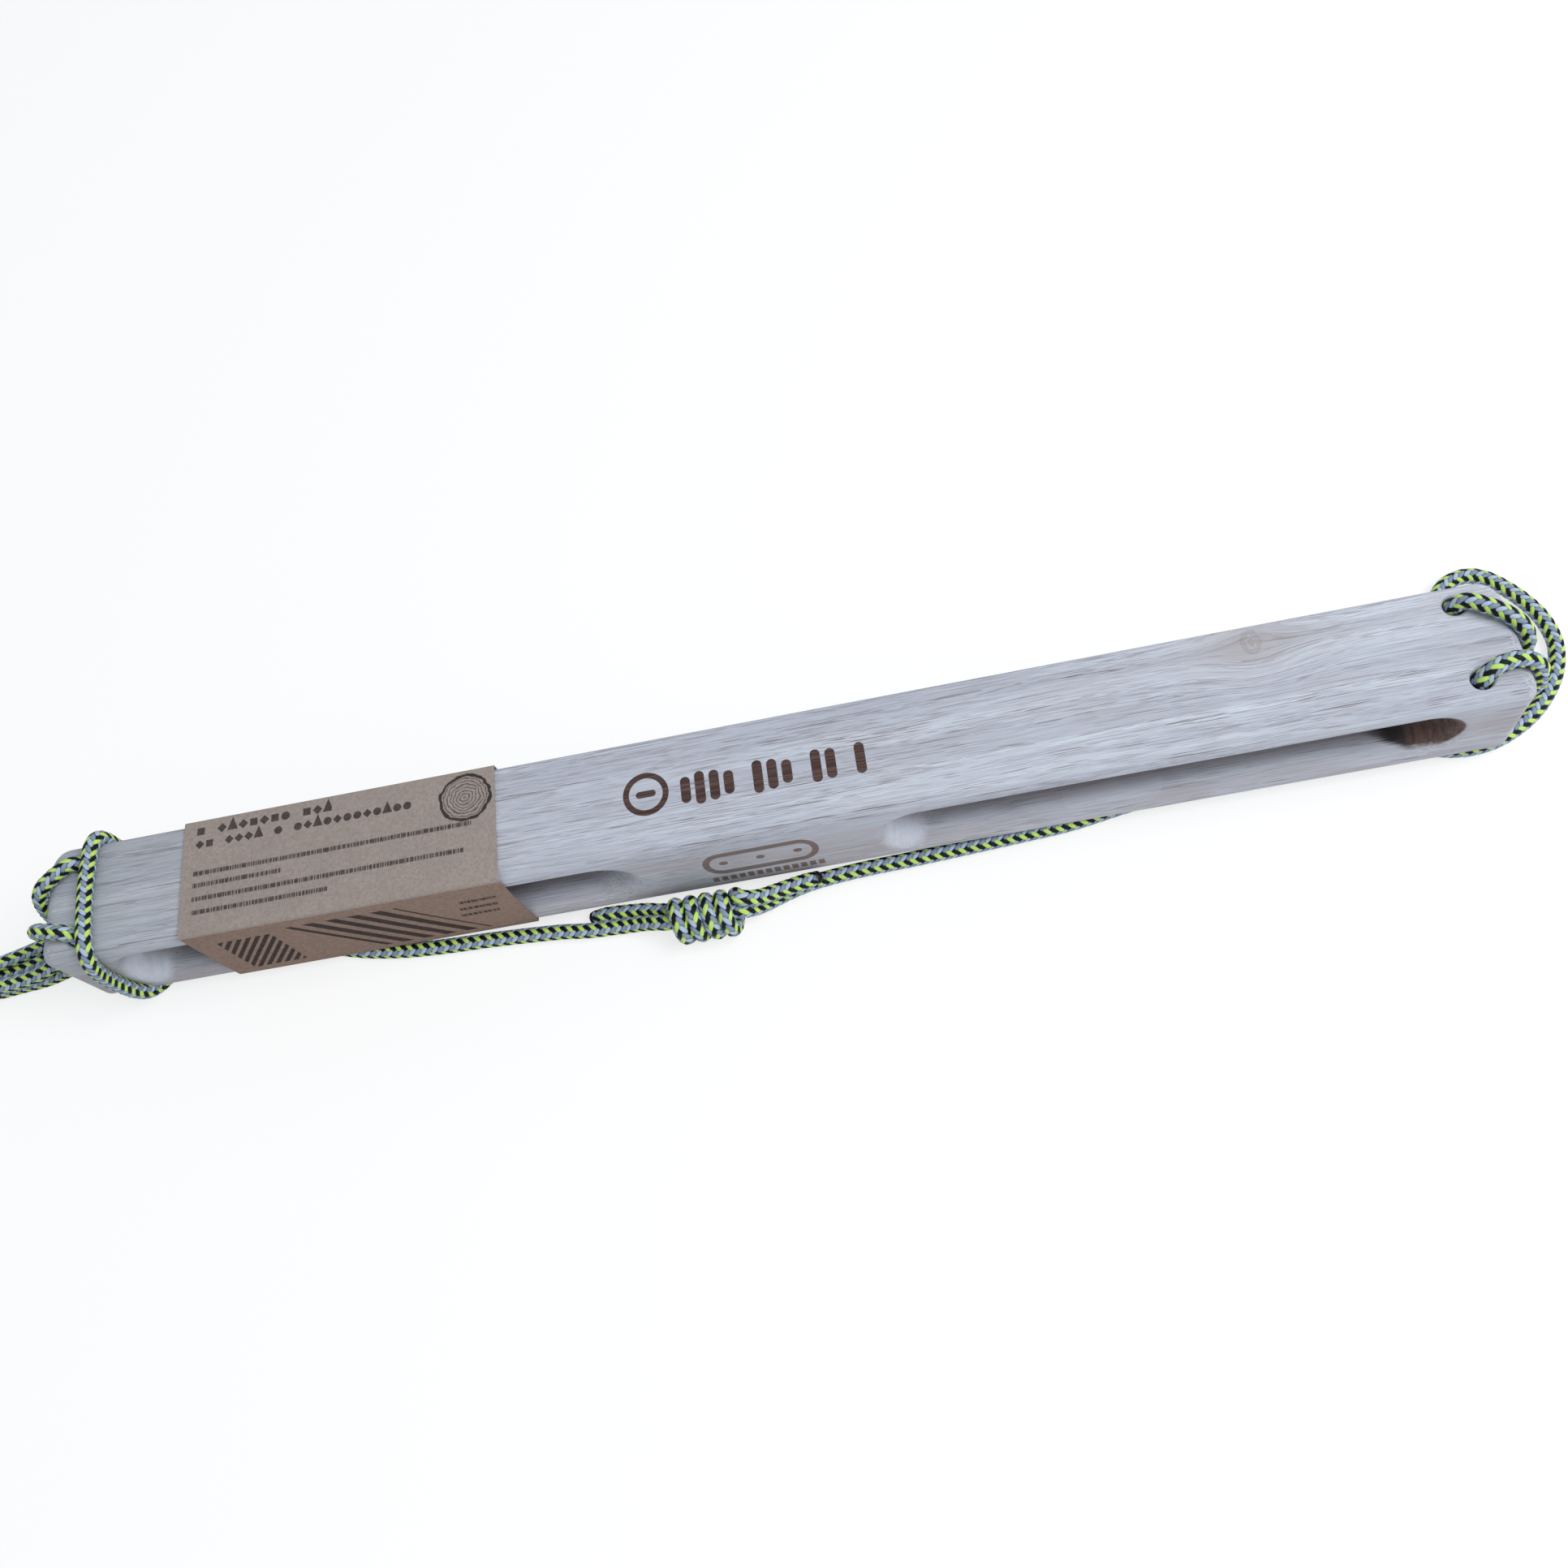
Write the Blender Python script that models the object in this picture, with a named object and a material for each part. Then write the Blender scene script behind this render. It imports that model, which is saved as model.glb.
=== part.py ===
"""A portable climbing hangboard: a slim wooden bar with finger pockets in its two long sides.

One cord is laced through two drilled holes at each end, tied to itself in a loop and laid round the bar.
A loose card sleeve slides along the bar.

Frame: +X is the right end, -Y the front with the deep pockets, +Z up.
The origin is on the surface that the board lies on, under the middle of the bar.
Lengths are in metres, and the cord's own points are in millimetres.
"""
import math

import bmesh
import bpy
import numpy as np

MM = 0.001

# The wooden bar.
BAR_LENGTH = 500.0 * MM
BAR_WIDTH = 41.5 * MM
BAR_HEIGHT = 40.5 * MM
END_CORNER = 11.5 * MM
FRONT_ROUND = 6.0 * MM
BACK_ROUND = 3.5 * MM
LOWER_ROUND = 3.5 * MM

# The finger pockets, a pair in the front and a shallower pair in the back.
POCKET_INNER = 44.0 * MM
POCKET_FROM_END = 20.5 * MM
POCKET_ROOF = 9.0 * MM
POCKET_FLOOR = 9.0 * MM
POCKET_RUNOUT = 12.0 * MM
POCKET_FILLET = 1.5 * MM
FRONT_DEPTH = 20.0 * MM
BACK_DEPTH = 14.0 * MM

# The cord and the four holes that it is laced through.
CORD_D = 5.8 * MM
HOLE_CLEARANCE = 0.45 * MM
HOLE_FROM_END = 15.5 * MM
HOLE_FROM_SIDE = 7.15 * MM
HOLE_RIM = 1.5 * MM
FLAT_SHARE = 0.1
END_STRAIGHT = 1.5

# The card sleeve.
CARD = 0.5 * MM
CARD_FOLD = 0.5 * MM
SLEEVE_CLEARANCE = 0.3 * MM
SLEEVE_LENGTH = 112.0 * MM
SLEEVE_FROM_END = 54.4 * MM
CORD_UNDER_SLEEVE = 0.4 * MM

# The knot in the cord: wraps round the two standing strands.
KNOT_X = -23.3 * MM
KNOT_Y = -31.6 * MM
WRAP_GAP = 0.6 * MM
KNOT_GAP = 0.35 * MM
KNOT_FIRST = -20.0
KNOT_LAST = 1360.0
KNOT_FACE = 135.0

# The spare cord beyond the left end, folded and tied.
FOLD_FROM_END = 150.0 * MM
FOLD_Y = -3.3 * MM
FOLD_RADIUS = 17.6 * MM
FOLD_GAP = 0.9 * MM
TIE_FROM_END = 63.0 * MM
TIE_Y = -7.2 * MM
TIE_WIDTH = 7.0 * MM
TIE_THICK = 1.2 * MM
TIE_CLEARANCE = 0.5 * MM
STRAND_GAP = 0.4 * MM

FACE_GAP = 0.3 * MM
LYING_GAP = 0.1 * MM

# Faces in each curve of the wood.
CORNER_STEPS = 8
ROUND_STEPS = 4
POCKET_STEPS = 9
RUNOUT_STEPS = 6
HOLE_SIDES = 20

# Heights and places that follow from the sizes.
CORD_R = CORD_D / 2
HALF_L = BAR_LENGTH / 2
HALF_W = BAR_WIDTH / 2
POCKET_OUTER = HALF_L - POCKET_FROM_END
HOLE_X = HALF_L - HOLE_FROM_END
HOLE_Y = HALF_W - HOLE_FROM_SIDE
SLEEVE_LEFT = SLEEVE_FROM_END - HALF_L
KNOT_PITCH = CORD_D + WRAP_GAP
FOLD_X = -HALF_L - FOLD_FROM_END
FOLD_SPACING = CORD_D + FOLD_GAP
TIE_X = -HALF_L - TIE_FROM_END
STRAND_SPACING = CORD_D + STRAND_GAP
BAR_BASE = CORD_D + CORD_UNDER_SLEEVE + CARD + SLEEVE_CLEARANCE
BAR_TOP = BAR_BASE + BAR_HEIGHT
LYING = CORD_R + LYING_GAP
OVER = BAR_TOP + CORD_R + FACE_GAP
OUTSIDE = HALF_L + CORD_R + FACE_GAP
BEHIND = HALF_W + CORD_R + FACE_GAP
BRIDGE_Z = CORD_R - FLAT_SHARE * CORD_D
KNOT_RADIUS = CORD_D + KNOT_GAP
KNOT_Z = KNOT_RADIUS + CORD_R + LYING_GAP
TIE_LOW = TIE_THICK + TIE_CLEARANCE + CORD_R + LYING_GAP
TIE_HIGH = TIE_LOW + STRAND_SPACING


def clear_scene():
    for old in list(bpy.data.objects):
        bpy.data.objects.remove(old, do_unlink=True)


def material(name, color, roughness):
    made = bpy.data.materials.new(name)
    made.use_nodes = True
    shader = made.node_tree.nodes["Principled BSDF"]
    shader.inputs["Base Color"].default_value = (*color, 1.0)
    shader.inputs["Roughness"].default_value = roughness
    shader.inputs["Metallic"].default_value = 0.0
    made.diffuse_color = (*color, 1.0)
    return made


def mesh_object(name, bm, surface=None, angle=35.0):
    bmesh.ops.recalc_face_normals(bm, faces=bm.faces)
    data = bpy.data.meshes.new(name)
    bm.to_mesh(data)
    bm.free()
    data.shade_smooth()
    data.set_sharp_from_angle(angle=math.radians(angle))
    made = bpy.data.objects.new(name, data)
    bpy.context.scene.collection.objects.link(made)
    if surface:
        data.materials.append(surface)
    return made


def skin_rings(bm, rings):
    """Closes a stack of rings of the same count into one body, with a face over each end."""
    rows = [[bm.verts.new(point) for point in ring] for ring in rings]
    count = len(rows[0])
    for low, high in zip(rows, rows[1:]):
        for i in range(count):
            j = (i + 1) % count
            bm.faces.new((low[i], low[j], high[j], high[i]))
    bm.faces.new(rows[0][::-1])
    bm.faces.new(rows[-1])


def as_cutter(made):
    made.hide_render = True
    made.display_type = "WIRE"
    return made


def cut(target, cutter):
    boolean = target.modifiers.new("cut_" + cutter.name, "BOOLEAN")
    boolean.operation = "DIFFERENCE"
    boolean.solver = "EXACT"
    boolean.object = cutter


# The bar: each point of its plan outline carries one upright profile, whose round-overs change from front to back.
def bar_outline():
    points = []
    for side_x, side_y, start in ((1, 1, 0), (-1, 1, 90), (-1, -1, 180), (1, -1, 270)):
        centre_x = side_x * (HALF_L - END_CORNER)
        centre_y = side_y * (HALF_W - END_CORNER)
        for step in range(CORNER_STEPS + 1):
            a = math.radians(start + 90.0 * step / CORNER_STEPS)
            points.append((centre_x, centre_y, math.cos(a), math.sin(a)))
    return points


def upright_profile(front_share):
    """(inset, height) from the flat underside up to the flat top."""
    upper = BACK_ROUND + (FRONT_ROUND - BACK_ROUND) * front_share
    profile = []
    for step in range(ROUND_STEPS + 1):
        a = math.radians(90.0 * step / ROUND_STEPS)
        profile.append((LOWER_ROUND * (1 - math.sin(a)), LOWER_ROUND * (1 - math.cos(a))))
    for step in range(ROUND_STEPS + 1):
        a = math.radians(90.0 * step / ROUND_STEPS)
        profile.append((upper * (1 - math.cos(a)), BAR_HEIGHT - upper * (1 - math.sin(a))))
    return profile


def make_bar(wood):
    columns = []
    for centre_x, centre_y, nx, ny in bar_outline():
        column = []
        for inset, height in upright_profile((1 - ny) / 2):
            reach = END_CORNER - inset
            column.append((centre_x + nx * reach, centre_y + ny * reach, height))
        columns.append(column)
    bm = bmesh.new()
    skin_rings(bm, list(zip(*columns)))
    bar = mesh_object("wood_bar", bm, wood)
    bar.location.z = BAR_BASE
    return bar


def stadium(x_low, x_high, z_low, z_high):
    radius = (z_high - z_low) / 2
    middle = (z_high + z_low) / 2
    outline = []
    for centre, start in ((x_high - radius, -90.0), (x_low + radius, 90.0)):
        for step in range(POCKET_STEPS + 1):
            a = math.radians(start + 180.0 * step / POCKET_STEPS)
            outline.append((centre + radius * math.cos(a), middle + radius * math.sin(a)))
    return outline


def make_pocket_cutter(name, side_x, side_y, depth):
    """A slot milled with a round-nosed bit: its ends curve out to the mouth, its floor meets the wall in a fillet."""
    roof = BAR_HEIGHT - POCKET_ROOF
    runout = min(POCKET_RUNOUT, depth - POCKET_FILLET)
    stations = [(-5.0 * MM, 0.0, 0.0)]
    for step in range(RUNOUT_STEPS + 1):
        a = math.radians(90.0 * step / RUNOUT_STEPS)
        stations.append((runout * math.sin(a), runout * (1 - math.cos(a)), 0.0))
    if depth - POCKET_FILLET > runout:
        stations.append((depth - POCKET_FILLET, runout, 0.0))
    for a in (math.radians(45), math.radians(90)):
        draw = POCKET_FILLET * (1 - math.cos(a))
        stations.append((depth - POCKET_FILLET * (1 - math.sin(a)), runout + draw, draw))
    rings = []
    for inward, shorter, thinner in stations:
        outline = stadium(POCKET_INNER + shorter, POCKET_OUTER - shorter, POCKET_FLOOR + thinner, roof - thinner)
        y = side_y * (HALF_W - inward)
        rings.append([(side_x * x, y, z) for x, z in outline])
    bm = bmesh.new()
    skin_rings(bm, rings)
    cutter = mesh_object(name, bm)
    cutter.location.z = BAR_BASE
    return as_cutter(cutter)


def make_hole_cutter(name, x, y):
    radius = CORD_R + HOLE_CLEARANCE
    profile = [(radius + HOLE_RIM, -2.0 * MM)]
    for step in range(ROUND_STEPS + 1):
        a = math.radians(90.0 * step / ROUND_STEPS)
        profile.append((radius + HOLE_RIM * (1 - math.sin(a)), HOLE_RIM * (1 - math.cos(a))))
    profile += [(r, BAR_HEIGHT - z) for r, z in reversed(profile)]
    rings = []
    for r, z in profile:
        turns = [2 * math.pi * i / HOLE_SIDES for i in range(HOLE_SIDES)]
        rings.append([(r * math.cos(a), r * math.sin(a), z) for a in turns])
    bm = bmesh.new()
    skin_rings(bm, rings)
    cutter = mesh_object(name, bm)
    cutter.location = (x, y, BAR_BASE)
    return as_cutter(cutter)


# The sleeve: one strip of card folded round the bar, with a small radius at each of its four folds.
def rounded_frame(half_w, half_h, radius):
    """Points (y, z) round the section."""
    points = []
    for side_y, side_z, start in ((1, 1, 0), (-1, 1, 90), (-1, -1, 180), (1, -1, 270)):
        for step in range(ROUND_STEPS):
            a = math.radians(start + 90.0 * step / (ROUND_STEPS - 1))
            y = side_y * (half_w - radius) + radius * math.cos(a)
            z = side_z * (half_h - radius) + radius * math.sin(a)
            points.append((y, z))
    return points


def skin_sleeve(bm, inner, outer, length):
    """An open tube along X with a wall between the two sections."""
    rows = []
    for outline in (inner, outer):
        for x in (-length / 2, length / 2):
            rows.append([bm.verts.new((x, y, z)) for y, z in outline])
    inner_left, inner_right, outer_left, outer_right = rows
    walls = ((inner_left, inner_right), (outer_left, outer_right), (inner_left, outer_left), (inner_right, outer_right))
    for low, high in walls:
        for i in range(len(inner)):
            j = (i + 1) % len(inner)
            bm.faces.new((low[i], low[j], high[j], high[i]))


def make_sleeve(card):
    half_w = HALF_W + SLEEVE_CLEARANCE
    half_h = BAR_HEIGHT / 2 + SLEEVE_CLEARANCE
    inner = rounded_frame(half_w, half_h, CARD_FOLD)
    outer = rounded_frame(half_w + CARD, half_h + CARD, CARD_FOLD + CARD)
    bm = bmesh.new()
    skin_sleeve(bm, inner, outer, SLEEVE_LENGTH)
    sleeve = mesh_object("card_sleeve", bm, card, 25.0)
    sleeve.location = (SLEEVE_LEFT + SLEEVE_LENGTH / 2, 0, BAR_BASE + BAR_HEIGHT / 2)
    return sleeve


# The cord: one smooth line through chosen points, cut into named stretches that meet face to face.
FLOOR = LYING / MM
HX = HOLE_X / MM
HY = HOLE_Y / MM
IN_TOP = BAR_TOP / MM - 5.0
IN_BASE = BAR_BASE / MM + 5.0
UP = OVER / MM
OUT = OUTSIDE / MM
BACK = BEHIND / MM
DIP = BRIDGE_Z / MM
KX = KNOT_X / MM
KY = KNOT_Y / MM
KZ = KNOT_Z / MM
LOW = TIE_LOW / MM
HIGH = TIE_HIGH / MM
TX = TIE_X / MM
TY = TIE_Y / MM
APART = STRAND_SPACING / MM / 2


def at(x):
    """A place along the bar. The points were chosen on a bar 500 mm long, and near its ends they keep their distance from them."""
    share = min(1.0, max(0.0, (abs(x) - 70.0) / 140.0))
    return x + math.copysign(share * (HALF_L / MM - 250.0), x)


RUN_RIGHT = [
    (KX, KY, KZ), (KX + 6.5, KY, KZ), (KX + 13.2, KY - 0.1, KZ - 0.1), (at(-6.4), -31.6, 7.7), (at(-2.4), -30.3, 4.9),
    (at(2.2), -28.4, 3.3), (at(7.2), -26.8, FLOOR), (at(14.0), -25.0, FLOOR), (at(24.0), -23.9, FLOOR), (at(36.0), -23.5, FLOOR),
    (at(50.5), -23.2, FLOOR), (at(69.3), -22.2, FLOOR), (at(87.8), -21.1, FLOOR), (at(106.3), -20.1, FLOOR), (at(124.6), -19.6, FLOOR),
    (at(142.0), -18.9, FLOOR), (at(165.0), -17.6, FLOOR), (at(190.0), -17.2, FLOOR), (at(212.0), -18.6, FLOOR), (at(224.0), -19.8, FLOOR),
]
END_LOOP = [
    (at(235.0), -20.2, FLOOR), (at(242.0), -19.2, FLOOR), (at(249.0), -17.0, FLOOR), (at(256.0), -14.0, FLOOR), (at(261.5), -11.0, FLOOR),
    (at(267.0), -7.0, FLOOR), (at(272.0), -2.6, FLOOR), (at(275.6), 2.0, FLOOR), (at(278.4), 8.0, FLOOR), (at(280.0), 14.0, FLOOR),
    (at(280.0), 20.0, FLOOR), (at(278.6), 27.0, FLOOR), (at(275.6), 33.5, FLOOR), (at(271.5), 39.5, FLOOR), (at(266.5), 44.8, FLOOR),
    (at(260.5), 47.6, FLOOR), (at(254.0), 47.4, FLOOR), (at(248.4), 44.6, FLOOR), (at(244.8), 40.0, FLOOR), (at(243.6), 33.5, FLOOR),
    (at(244.4), 27.0, FLOOR), (at(246.2), 20.5, FLOOR), (at(248.6), 14.5, FLOOR), (at(252.2), 9.0, FLOOR + 0.4), (at(255.5), 4.4, 5.9),
    (OUT + 3.4, 1.6, 11.0), (OUT + 2.2, 0.9, 18.0),
]


def through_holes(side):
    """Down the hole that the stretch reaches first, under the bar and up the other, at one end of the bar."""
    x = side * HX
    half = [
        (side * (HX + 0.1), HY, IN_TOP + 4.4), (x, HY, IN_TOP), (x, HY, (IN_TOP + IN_BASE) / 2), (x, HY, IN_BASE),
        (x, HY - 0.3, FLOOR + 4.5), (x, HY - 2.2, FLOOR + 0.9), (x, HY - 5.4, DIP + 0.1), (x, HY - 9.0, DIP),
    ]
    return half + [(x, 0, DIP)] + [(px, -py, pz) for px, py, pz in reversed(half)]


LACING_RIGHT = [
    (OUT + 1.3, 0.6, 25.0), (OUT + 0.8, 0.5, 30.5), (OUT + 0.6, 0.8, UP - 14.6),
    (OUT + 0.3, 2.1, UP - 7.6), (OUT - 1.9, 4.2, UP - 2.1), (OUT - 6.2, 7.2, UP + 0.4), (OUT - 11.4, 10.6, UP + 0.7),
    (OUT - 15.8, 13.0, UP - 0.2),
] + through_holes(1) + [
    (OUT - 15.8, -12.7, UP), (OUT - 11.2, -11.3, UP + 0.8), (OUT - 6.4, -11.0, UP + 0.3),
    (OUT - 2.0, -11.5, UP - 2.4), (OUT + 0.2, -12.2, UP - 7.6), (OUT + 0.8, -12.1, UP - 14.2), (OUT + 1.0, -11.3, 30.5),
]
BACK_RUN = [
    (OUT + 1.3, -10.3, 25.0), (OUT + 2.2, -9.0, 18.0), (OUT + 3.0, -7.9, 11.0), (at(254.8), -6.6, 5.9), (at(251.2), -4.8, FLOOR + 0.5), (at(246.2), -2.0, FLOOR), (at(242.4), 3.0, FLOOR), (at(241.0), 10.0, FLOOR),
    (at(240.2), 17.0, FLOOR), (at(237.0), 23.6, FLOOR), (at(231.0), 28.0, FLOOR), (at(220.0), 28.6, FLOOR), (at(205.0), 27.2, FLOOR),
    (at(170.0), 26.3, FLOOR), (at(130.0), 26.0, FLOOR), (at(90.0), 26.4, FLOOR), (at(50.0), 26.0, FLOOR), (at(10.0), 26.4, FLOOR),
    (at(-30.0), 26.0, FLOOR), (at(-80.0), 26.3, FLOOR), (at(-130.0), 26.0, FLOOR), (at(-180.0), 26.3, FLOOR), (at(-215.0), 26.2, FLOOR),
    (at(-236.0), 26.6, FLOOR), (at(-249.0), 24.6, FLOOR), (at(-258.5), 18.8, FLOOR), (at(-266.0), 12.2, FLOOR), (at(-274.0), 5.8, FLOOR),
    (at(-284.0), 0.2, FLOOR), (at(-295.0), -3.3, FLOOR + 0.1), (TX + 8.5, TY + APART, LOW - 0.2), (TX + 4.0, TY + APART, LOW),
]


def fold(radius):
    """A half turn of the folded cord, from its back run round to its front run."""
    turns = [math.radians(90.0 + 30.0 * step) for step in range(7)]
    return [(FOLD_X / MM + radius * math.cos(a), FOLD_Y / MM + radius * math.sin(a), FLOOR) for a in turns]


HANK_INNER = [
    (TX, TY + APART, LOW), (TX - 4.0, TY + APART, LOW), (at(-325.0), -2.8, LOW - 0.9), (at(-334.0), -0.6, FLOOR), (at(-344.0), 2.8, FLOOR), (at(-355.0), 6.6, FLOOR),
    (at(-368.0), 10.8, FLOOR), (at(-383.0), 13.6, FLOOR),
] + fold(FOLD_RADIUS / MM) + [
    (at(-383.0), -20.2, FLOOR), (at(-368.0), -17.9, FLOOR), (at(-355.0), -14.9, FLOOR), (at(-344.0), -12.0, FLOOR + 0.7),
    (at(-334.0), -10.0, 6.8), (at(-325.0), -9.5, HIGH - 0.9), (TX - 4.0, TY - APART, HIGH), (TX, TY - APART, HIGH),
]
EXIT_UPPER = [
    (TX + 5.0, TY - APART, HIGH), (at(-300.0), -10.4, HIGH - 0.9), (at(-291.0), -10.5, 9.5), (at(-284.0), -10.0, 9.2), (at(-277.0), -8.9, 9.3), (at(-268.5), -6.4, 10.4), (at(-262.0), -3.7, 13.0),
    (at(-258.2), -1.9, 17.2),
    (-OUT - 2.6, -0.8, 23.0),
]
LACING_LEFT = [
    (-OUT - 1.3, -0.2, 28.5), (-OUT - 1.0, 0.0, 32.0), (-OUT - 0.7, 0.3, UP - 13.6), (-OUT - 0.4, 1.3, UP - 8.6),
    (-OUT + 0.9, 2.8, UP - 4.0), (-OUT + 3.8, 4.9, UP - 0.7), (-OUT + 7.6, 7.4, UP + 0.5), (-OUT + 11.4, 10.6, UP + 0.7),
    (-OUT + 15.6, 13.0, UP - 0.1),
] + through_holes(-1) + [
    (-OUT + 15.6, -12.7, UP), (-OUT + 11.2, -11.4, UP + 0.8), (-OUT + 6.4, -10.4, UP + 0.3),
    (-OUT + 2.0, -9.4, UP - 2.3), (-OUT - 0.2, -8.6, UP - 7.6), (-OUT - 0.7, -8.4, UP - 14.0), (-OUT - 0.9, -8.4, 30.5),
]
EXIT_LOWER = [
    (-OUT - 1.2, -8.5, 25.0), (-OUT - 2.0, -8.7, 18.0), (-OUT - 3.0, -8.9, 11.0), (at(-260.2), -9.2, 5.8), (at(-267.0), -9.6, FLOOR + 0.2), (at(-276.0), -10.3, FLOOR), (at(-286.0), -11.0, FLOOR),
    (at(-296.0), -11.0, FLOOR + 0.2), (TX + 8.5, TY - APART, LOW - 0.2), (TX + 4.0, TY - APART, LOW),
]
HANK_OUTER = [
    (TX, TY - APART, LOW), (TX - 4.0, TY - APART, LOW), (at(-325.0), -12.7, LOW - 0.9), (at(-334.0), -15.7, FLOOR), (at(-344.0), -19.0, FLOOR),
    (at(-355.0), -22.0, FLOOR), (at(-368.0), -24.8, FLOOR), (at(-383.0), -27.0, FLOOR),
] + fold((FOLD_RADIUS + FOLD_SPACING) / MM)[::-1] + [
    (at(-383.0), 20.5, FLOOR), (at(-368.0), 17.8, FLOOR), (at(-355.0), 13.8, FLOOR), (at(-344.0), 9.7, FLOOR + 0.7), (at(-334.0), 4.8, 7.5),
    (at(-325.0), -0.9, HIGH - 0.4), (TX - 4.0, TY + APART, HIGH), (TX, TY + APART, HIGH),
]
CROSS_WRAP = [
    (TX + 5.0, TY + APART, HIGH), (at(-300.0), -3.6, HIGH - 0.9), (at(-292.0), -1.6, 9.5), (at(-284.0), 1.8, 9.2), (at(-274.0), 7.8, 9.2), (at(-266.0), 14.6, 9.3), (at(-257.5), 21.8, 9.4),
    (at(-248.5), BACK + 3.4, 9.9), (at(-240.5), BACK + 5.6, 12.6), (at(-234.4), BACK + 4.0, 19.0), (at(-229.6), BACK + 1.6, 27.5), (at(-227.2), BACK + 0.3, 36.5),
    (at(-226.4), BACK + 0.2, UP - 7.0), (at(-227.2), BACK - 1.2, UP - 1.9), (at(-228.6), BACK - 5.6, UP + 0.2), (at(-229.2), 12.0, UP + 0.1),
    (at(-229.4), 4.0, UP), (at(-229.4), -4.0, UP), (at(-229.2), -11.0, UP), (at(-229.0), -BACK + 7.1, UP - 0.1),
    (at(-229.4), -BACK + 3.1, UP - 1.9), (at(-230.6), -BACK + 0.1, UP - 6.4), (at(-232.2), -BACK - 0.2, UP - 13.5),
    (at(-233.2), -BACK - 0.1, UP - 21.5), (at(-233.0), -BACK - 0.1, 21.5), (at(-231.4), -BACK - 0.1, 14.5), (at(-228.4), -BACK + 0.2, 8.8),
    (at(-223.6), -BACK + 2.7, 4.5), (at(-217.0), -18.2, FLOOR),
]
RUN_LEFT = [
    (at(-207.0), -15.4, FLOOR), (at(-194.0), -14.0, FLOOR), (at(-178.0), -14.2, FLOOR), (at(-162.0), -17.0, FLOOR),
    (at(-148.0), -20.4, FLOOR), (at(-134.0), -22.2, FLOOR), (at(-119.0), -23.3, FLOOR), (at(-102.7), -23.9, FLOOR),
    (at(-87.5), -24.8, FLOOR), (at(-76.0), -26.0, FLOOR), (at(-67.0), -27.2, FLOOR), (at(-58.0), -27.5, FLOOR), (at(-51.0), -28.0, 3.8),
    (at(-45.4), -29.0, 5.8), (at(-41.0), -30.3, 7.9), (at(-37.0), -31.4, KZ - 0.1), (KX - 6.5, KY, KZ), (KX, KY, KZ),
]
STRETCHES = [
    ("cord_run_right", RUN_RIGHT), ("cord_end_loop", END_LOOP), ("cord_lacing_right", LACING_RIGHT),
    ("cord_back_run", BACK_RUN), ("cord_hank_inner", HANK_INNER), ("cord_exit_upper", EXIT_UPPER),
    ("cord_lacing_left", LACING_LEFT), ("cord_exit_lower", EXIT_LOWER), ("cord_hank_outer", HANK_OUTER),
    ("cord_cross_wrap", CROSS_WRAP), ("cord_run_left", RUN_LEFT),
]
TAIL_LEFT = [
    (-66.5, -20.6, FLOOR), (-60.0, -20.7, FLOOR), (-53.5, -20.9, FLOOR), (-48.0, -21.4, FLOOR), (-43.0, -22.9, FLOOR),
    (-39.2, -24.6, FLOOR + 0.8),
]
TAIL_RIGHT = [
    (-9.7, -28.1, FLOOR), (-7.2, -25.9, FLOOR), (-3.4, -23.4, FLOOR), (1.2, -21.4, FLOOR), (6.5, -20.1, FLOOR),
    (13.0, -18.9, FLOOR), (19.0, -18.3, FLOOR),
]


def knot_wraps():
    """The wraps, 24 points a turn, so that four of them face the front and top."""
    points = []
    steps = round((KNOT_LAST - KNOT_FIRST) / 15.0)
    for step in range(steps + 1):
        turn = KNOT_FIRST + 15.0 * step
        along = (turn - KNOT_FACE) / 360.0 - 1.5
        a = math.radians(turn)
        y = KY + KNOT_RADIUS / MM * math.cos(a)
        z = KZ + KNOT_RADIUS / MM * math.sin(a)
        points.append((KX + along * KNOT_PITCH / MM, y, z))
    return points


def smooth_line(points, steps=12):
    """A centripetal Catmull-Rom curve through the points, and where along it each point lies."""
    chosen = np.array(points, float)
    ends = np.vstack([2 * chosen[0] - chosen[1], chosen, 2 * chosen[-1] - chosen[-2]])
    line = []
    for p0, p1, p2, p3 in zip(ends, ends[1:], ends[2:], ends[3:]):
        knots = np.cumsum([0] + [math.sqrt(np.linalg.norm(b - a)) for a, b in ((p0, p1), (p1, p2), (p2, p3))])
        t0, t1, t2, t3 = knots
        for t in np.linspace(t1, t2, steps, endpoint=False):
            a1 = ((t1 - t) * p0 + (t - t0) * p1) / (t1 - t0)
            a2 = ((t2 - t) * p1 + (t - t1) * p2) / (t2 - t1)
            a3 = ((t3 - t) * p2 + (t - t2) * p3) / (t3 - t2)
            b1 = ((t2 - t) * a1 + (t - t0) * a2) / (t2 - t0)
            b2 = ((t3 - t) * a2 + (t - t1) * a3) / (t3 - t1)
            line.append(((t2 - t) * b1 + (t - t1) * b2) / (t2 - t1))
    line.append(chosen[-1])
    line = np.array(line)
    run = np.concatenate([[0], np.cumsum(np.linalg.norm(np.diff(line, axis=0), axis=1))])
    return line, run, run[::steps]


def part_of(line, run, start, end):
    keep = (run > start + 0.2) & (run < end - 0.2)
    ends = [[np.interp(at, run, line[:, axis]) for axis in range(3)] for at in (start, end)]
    return np.vstack([ends[0], line[keep], ends[1]])


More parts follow.
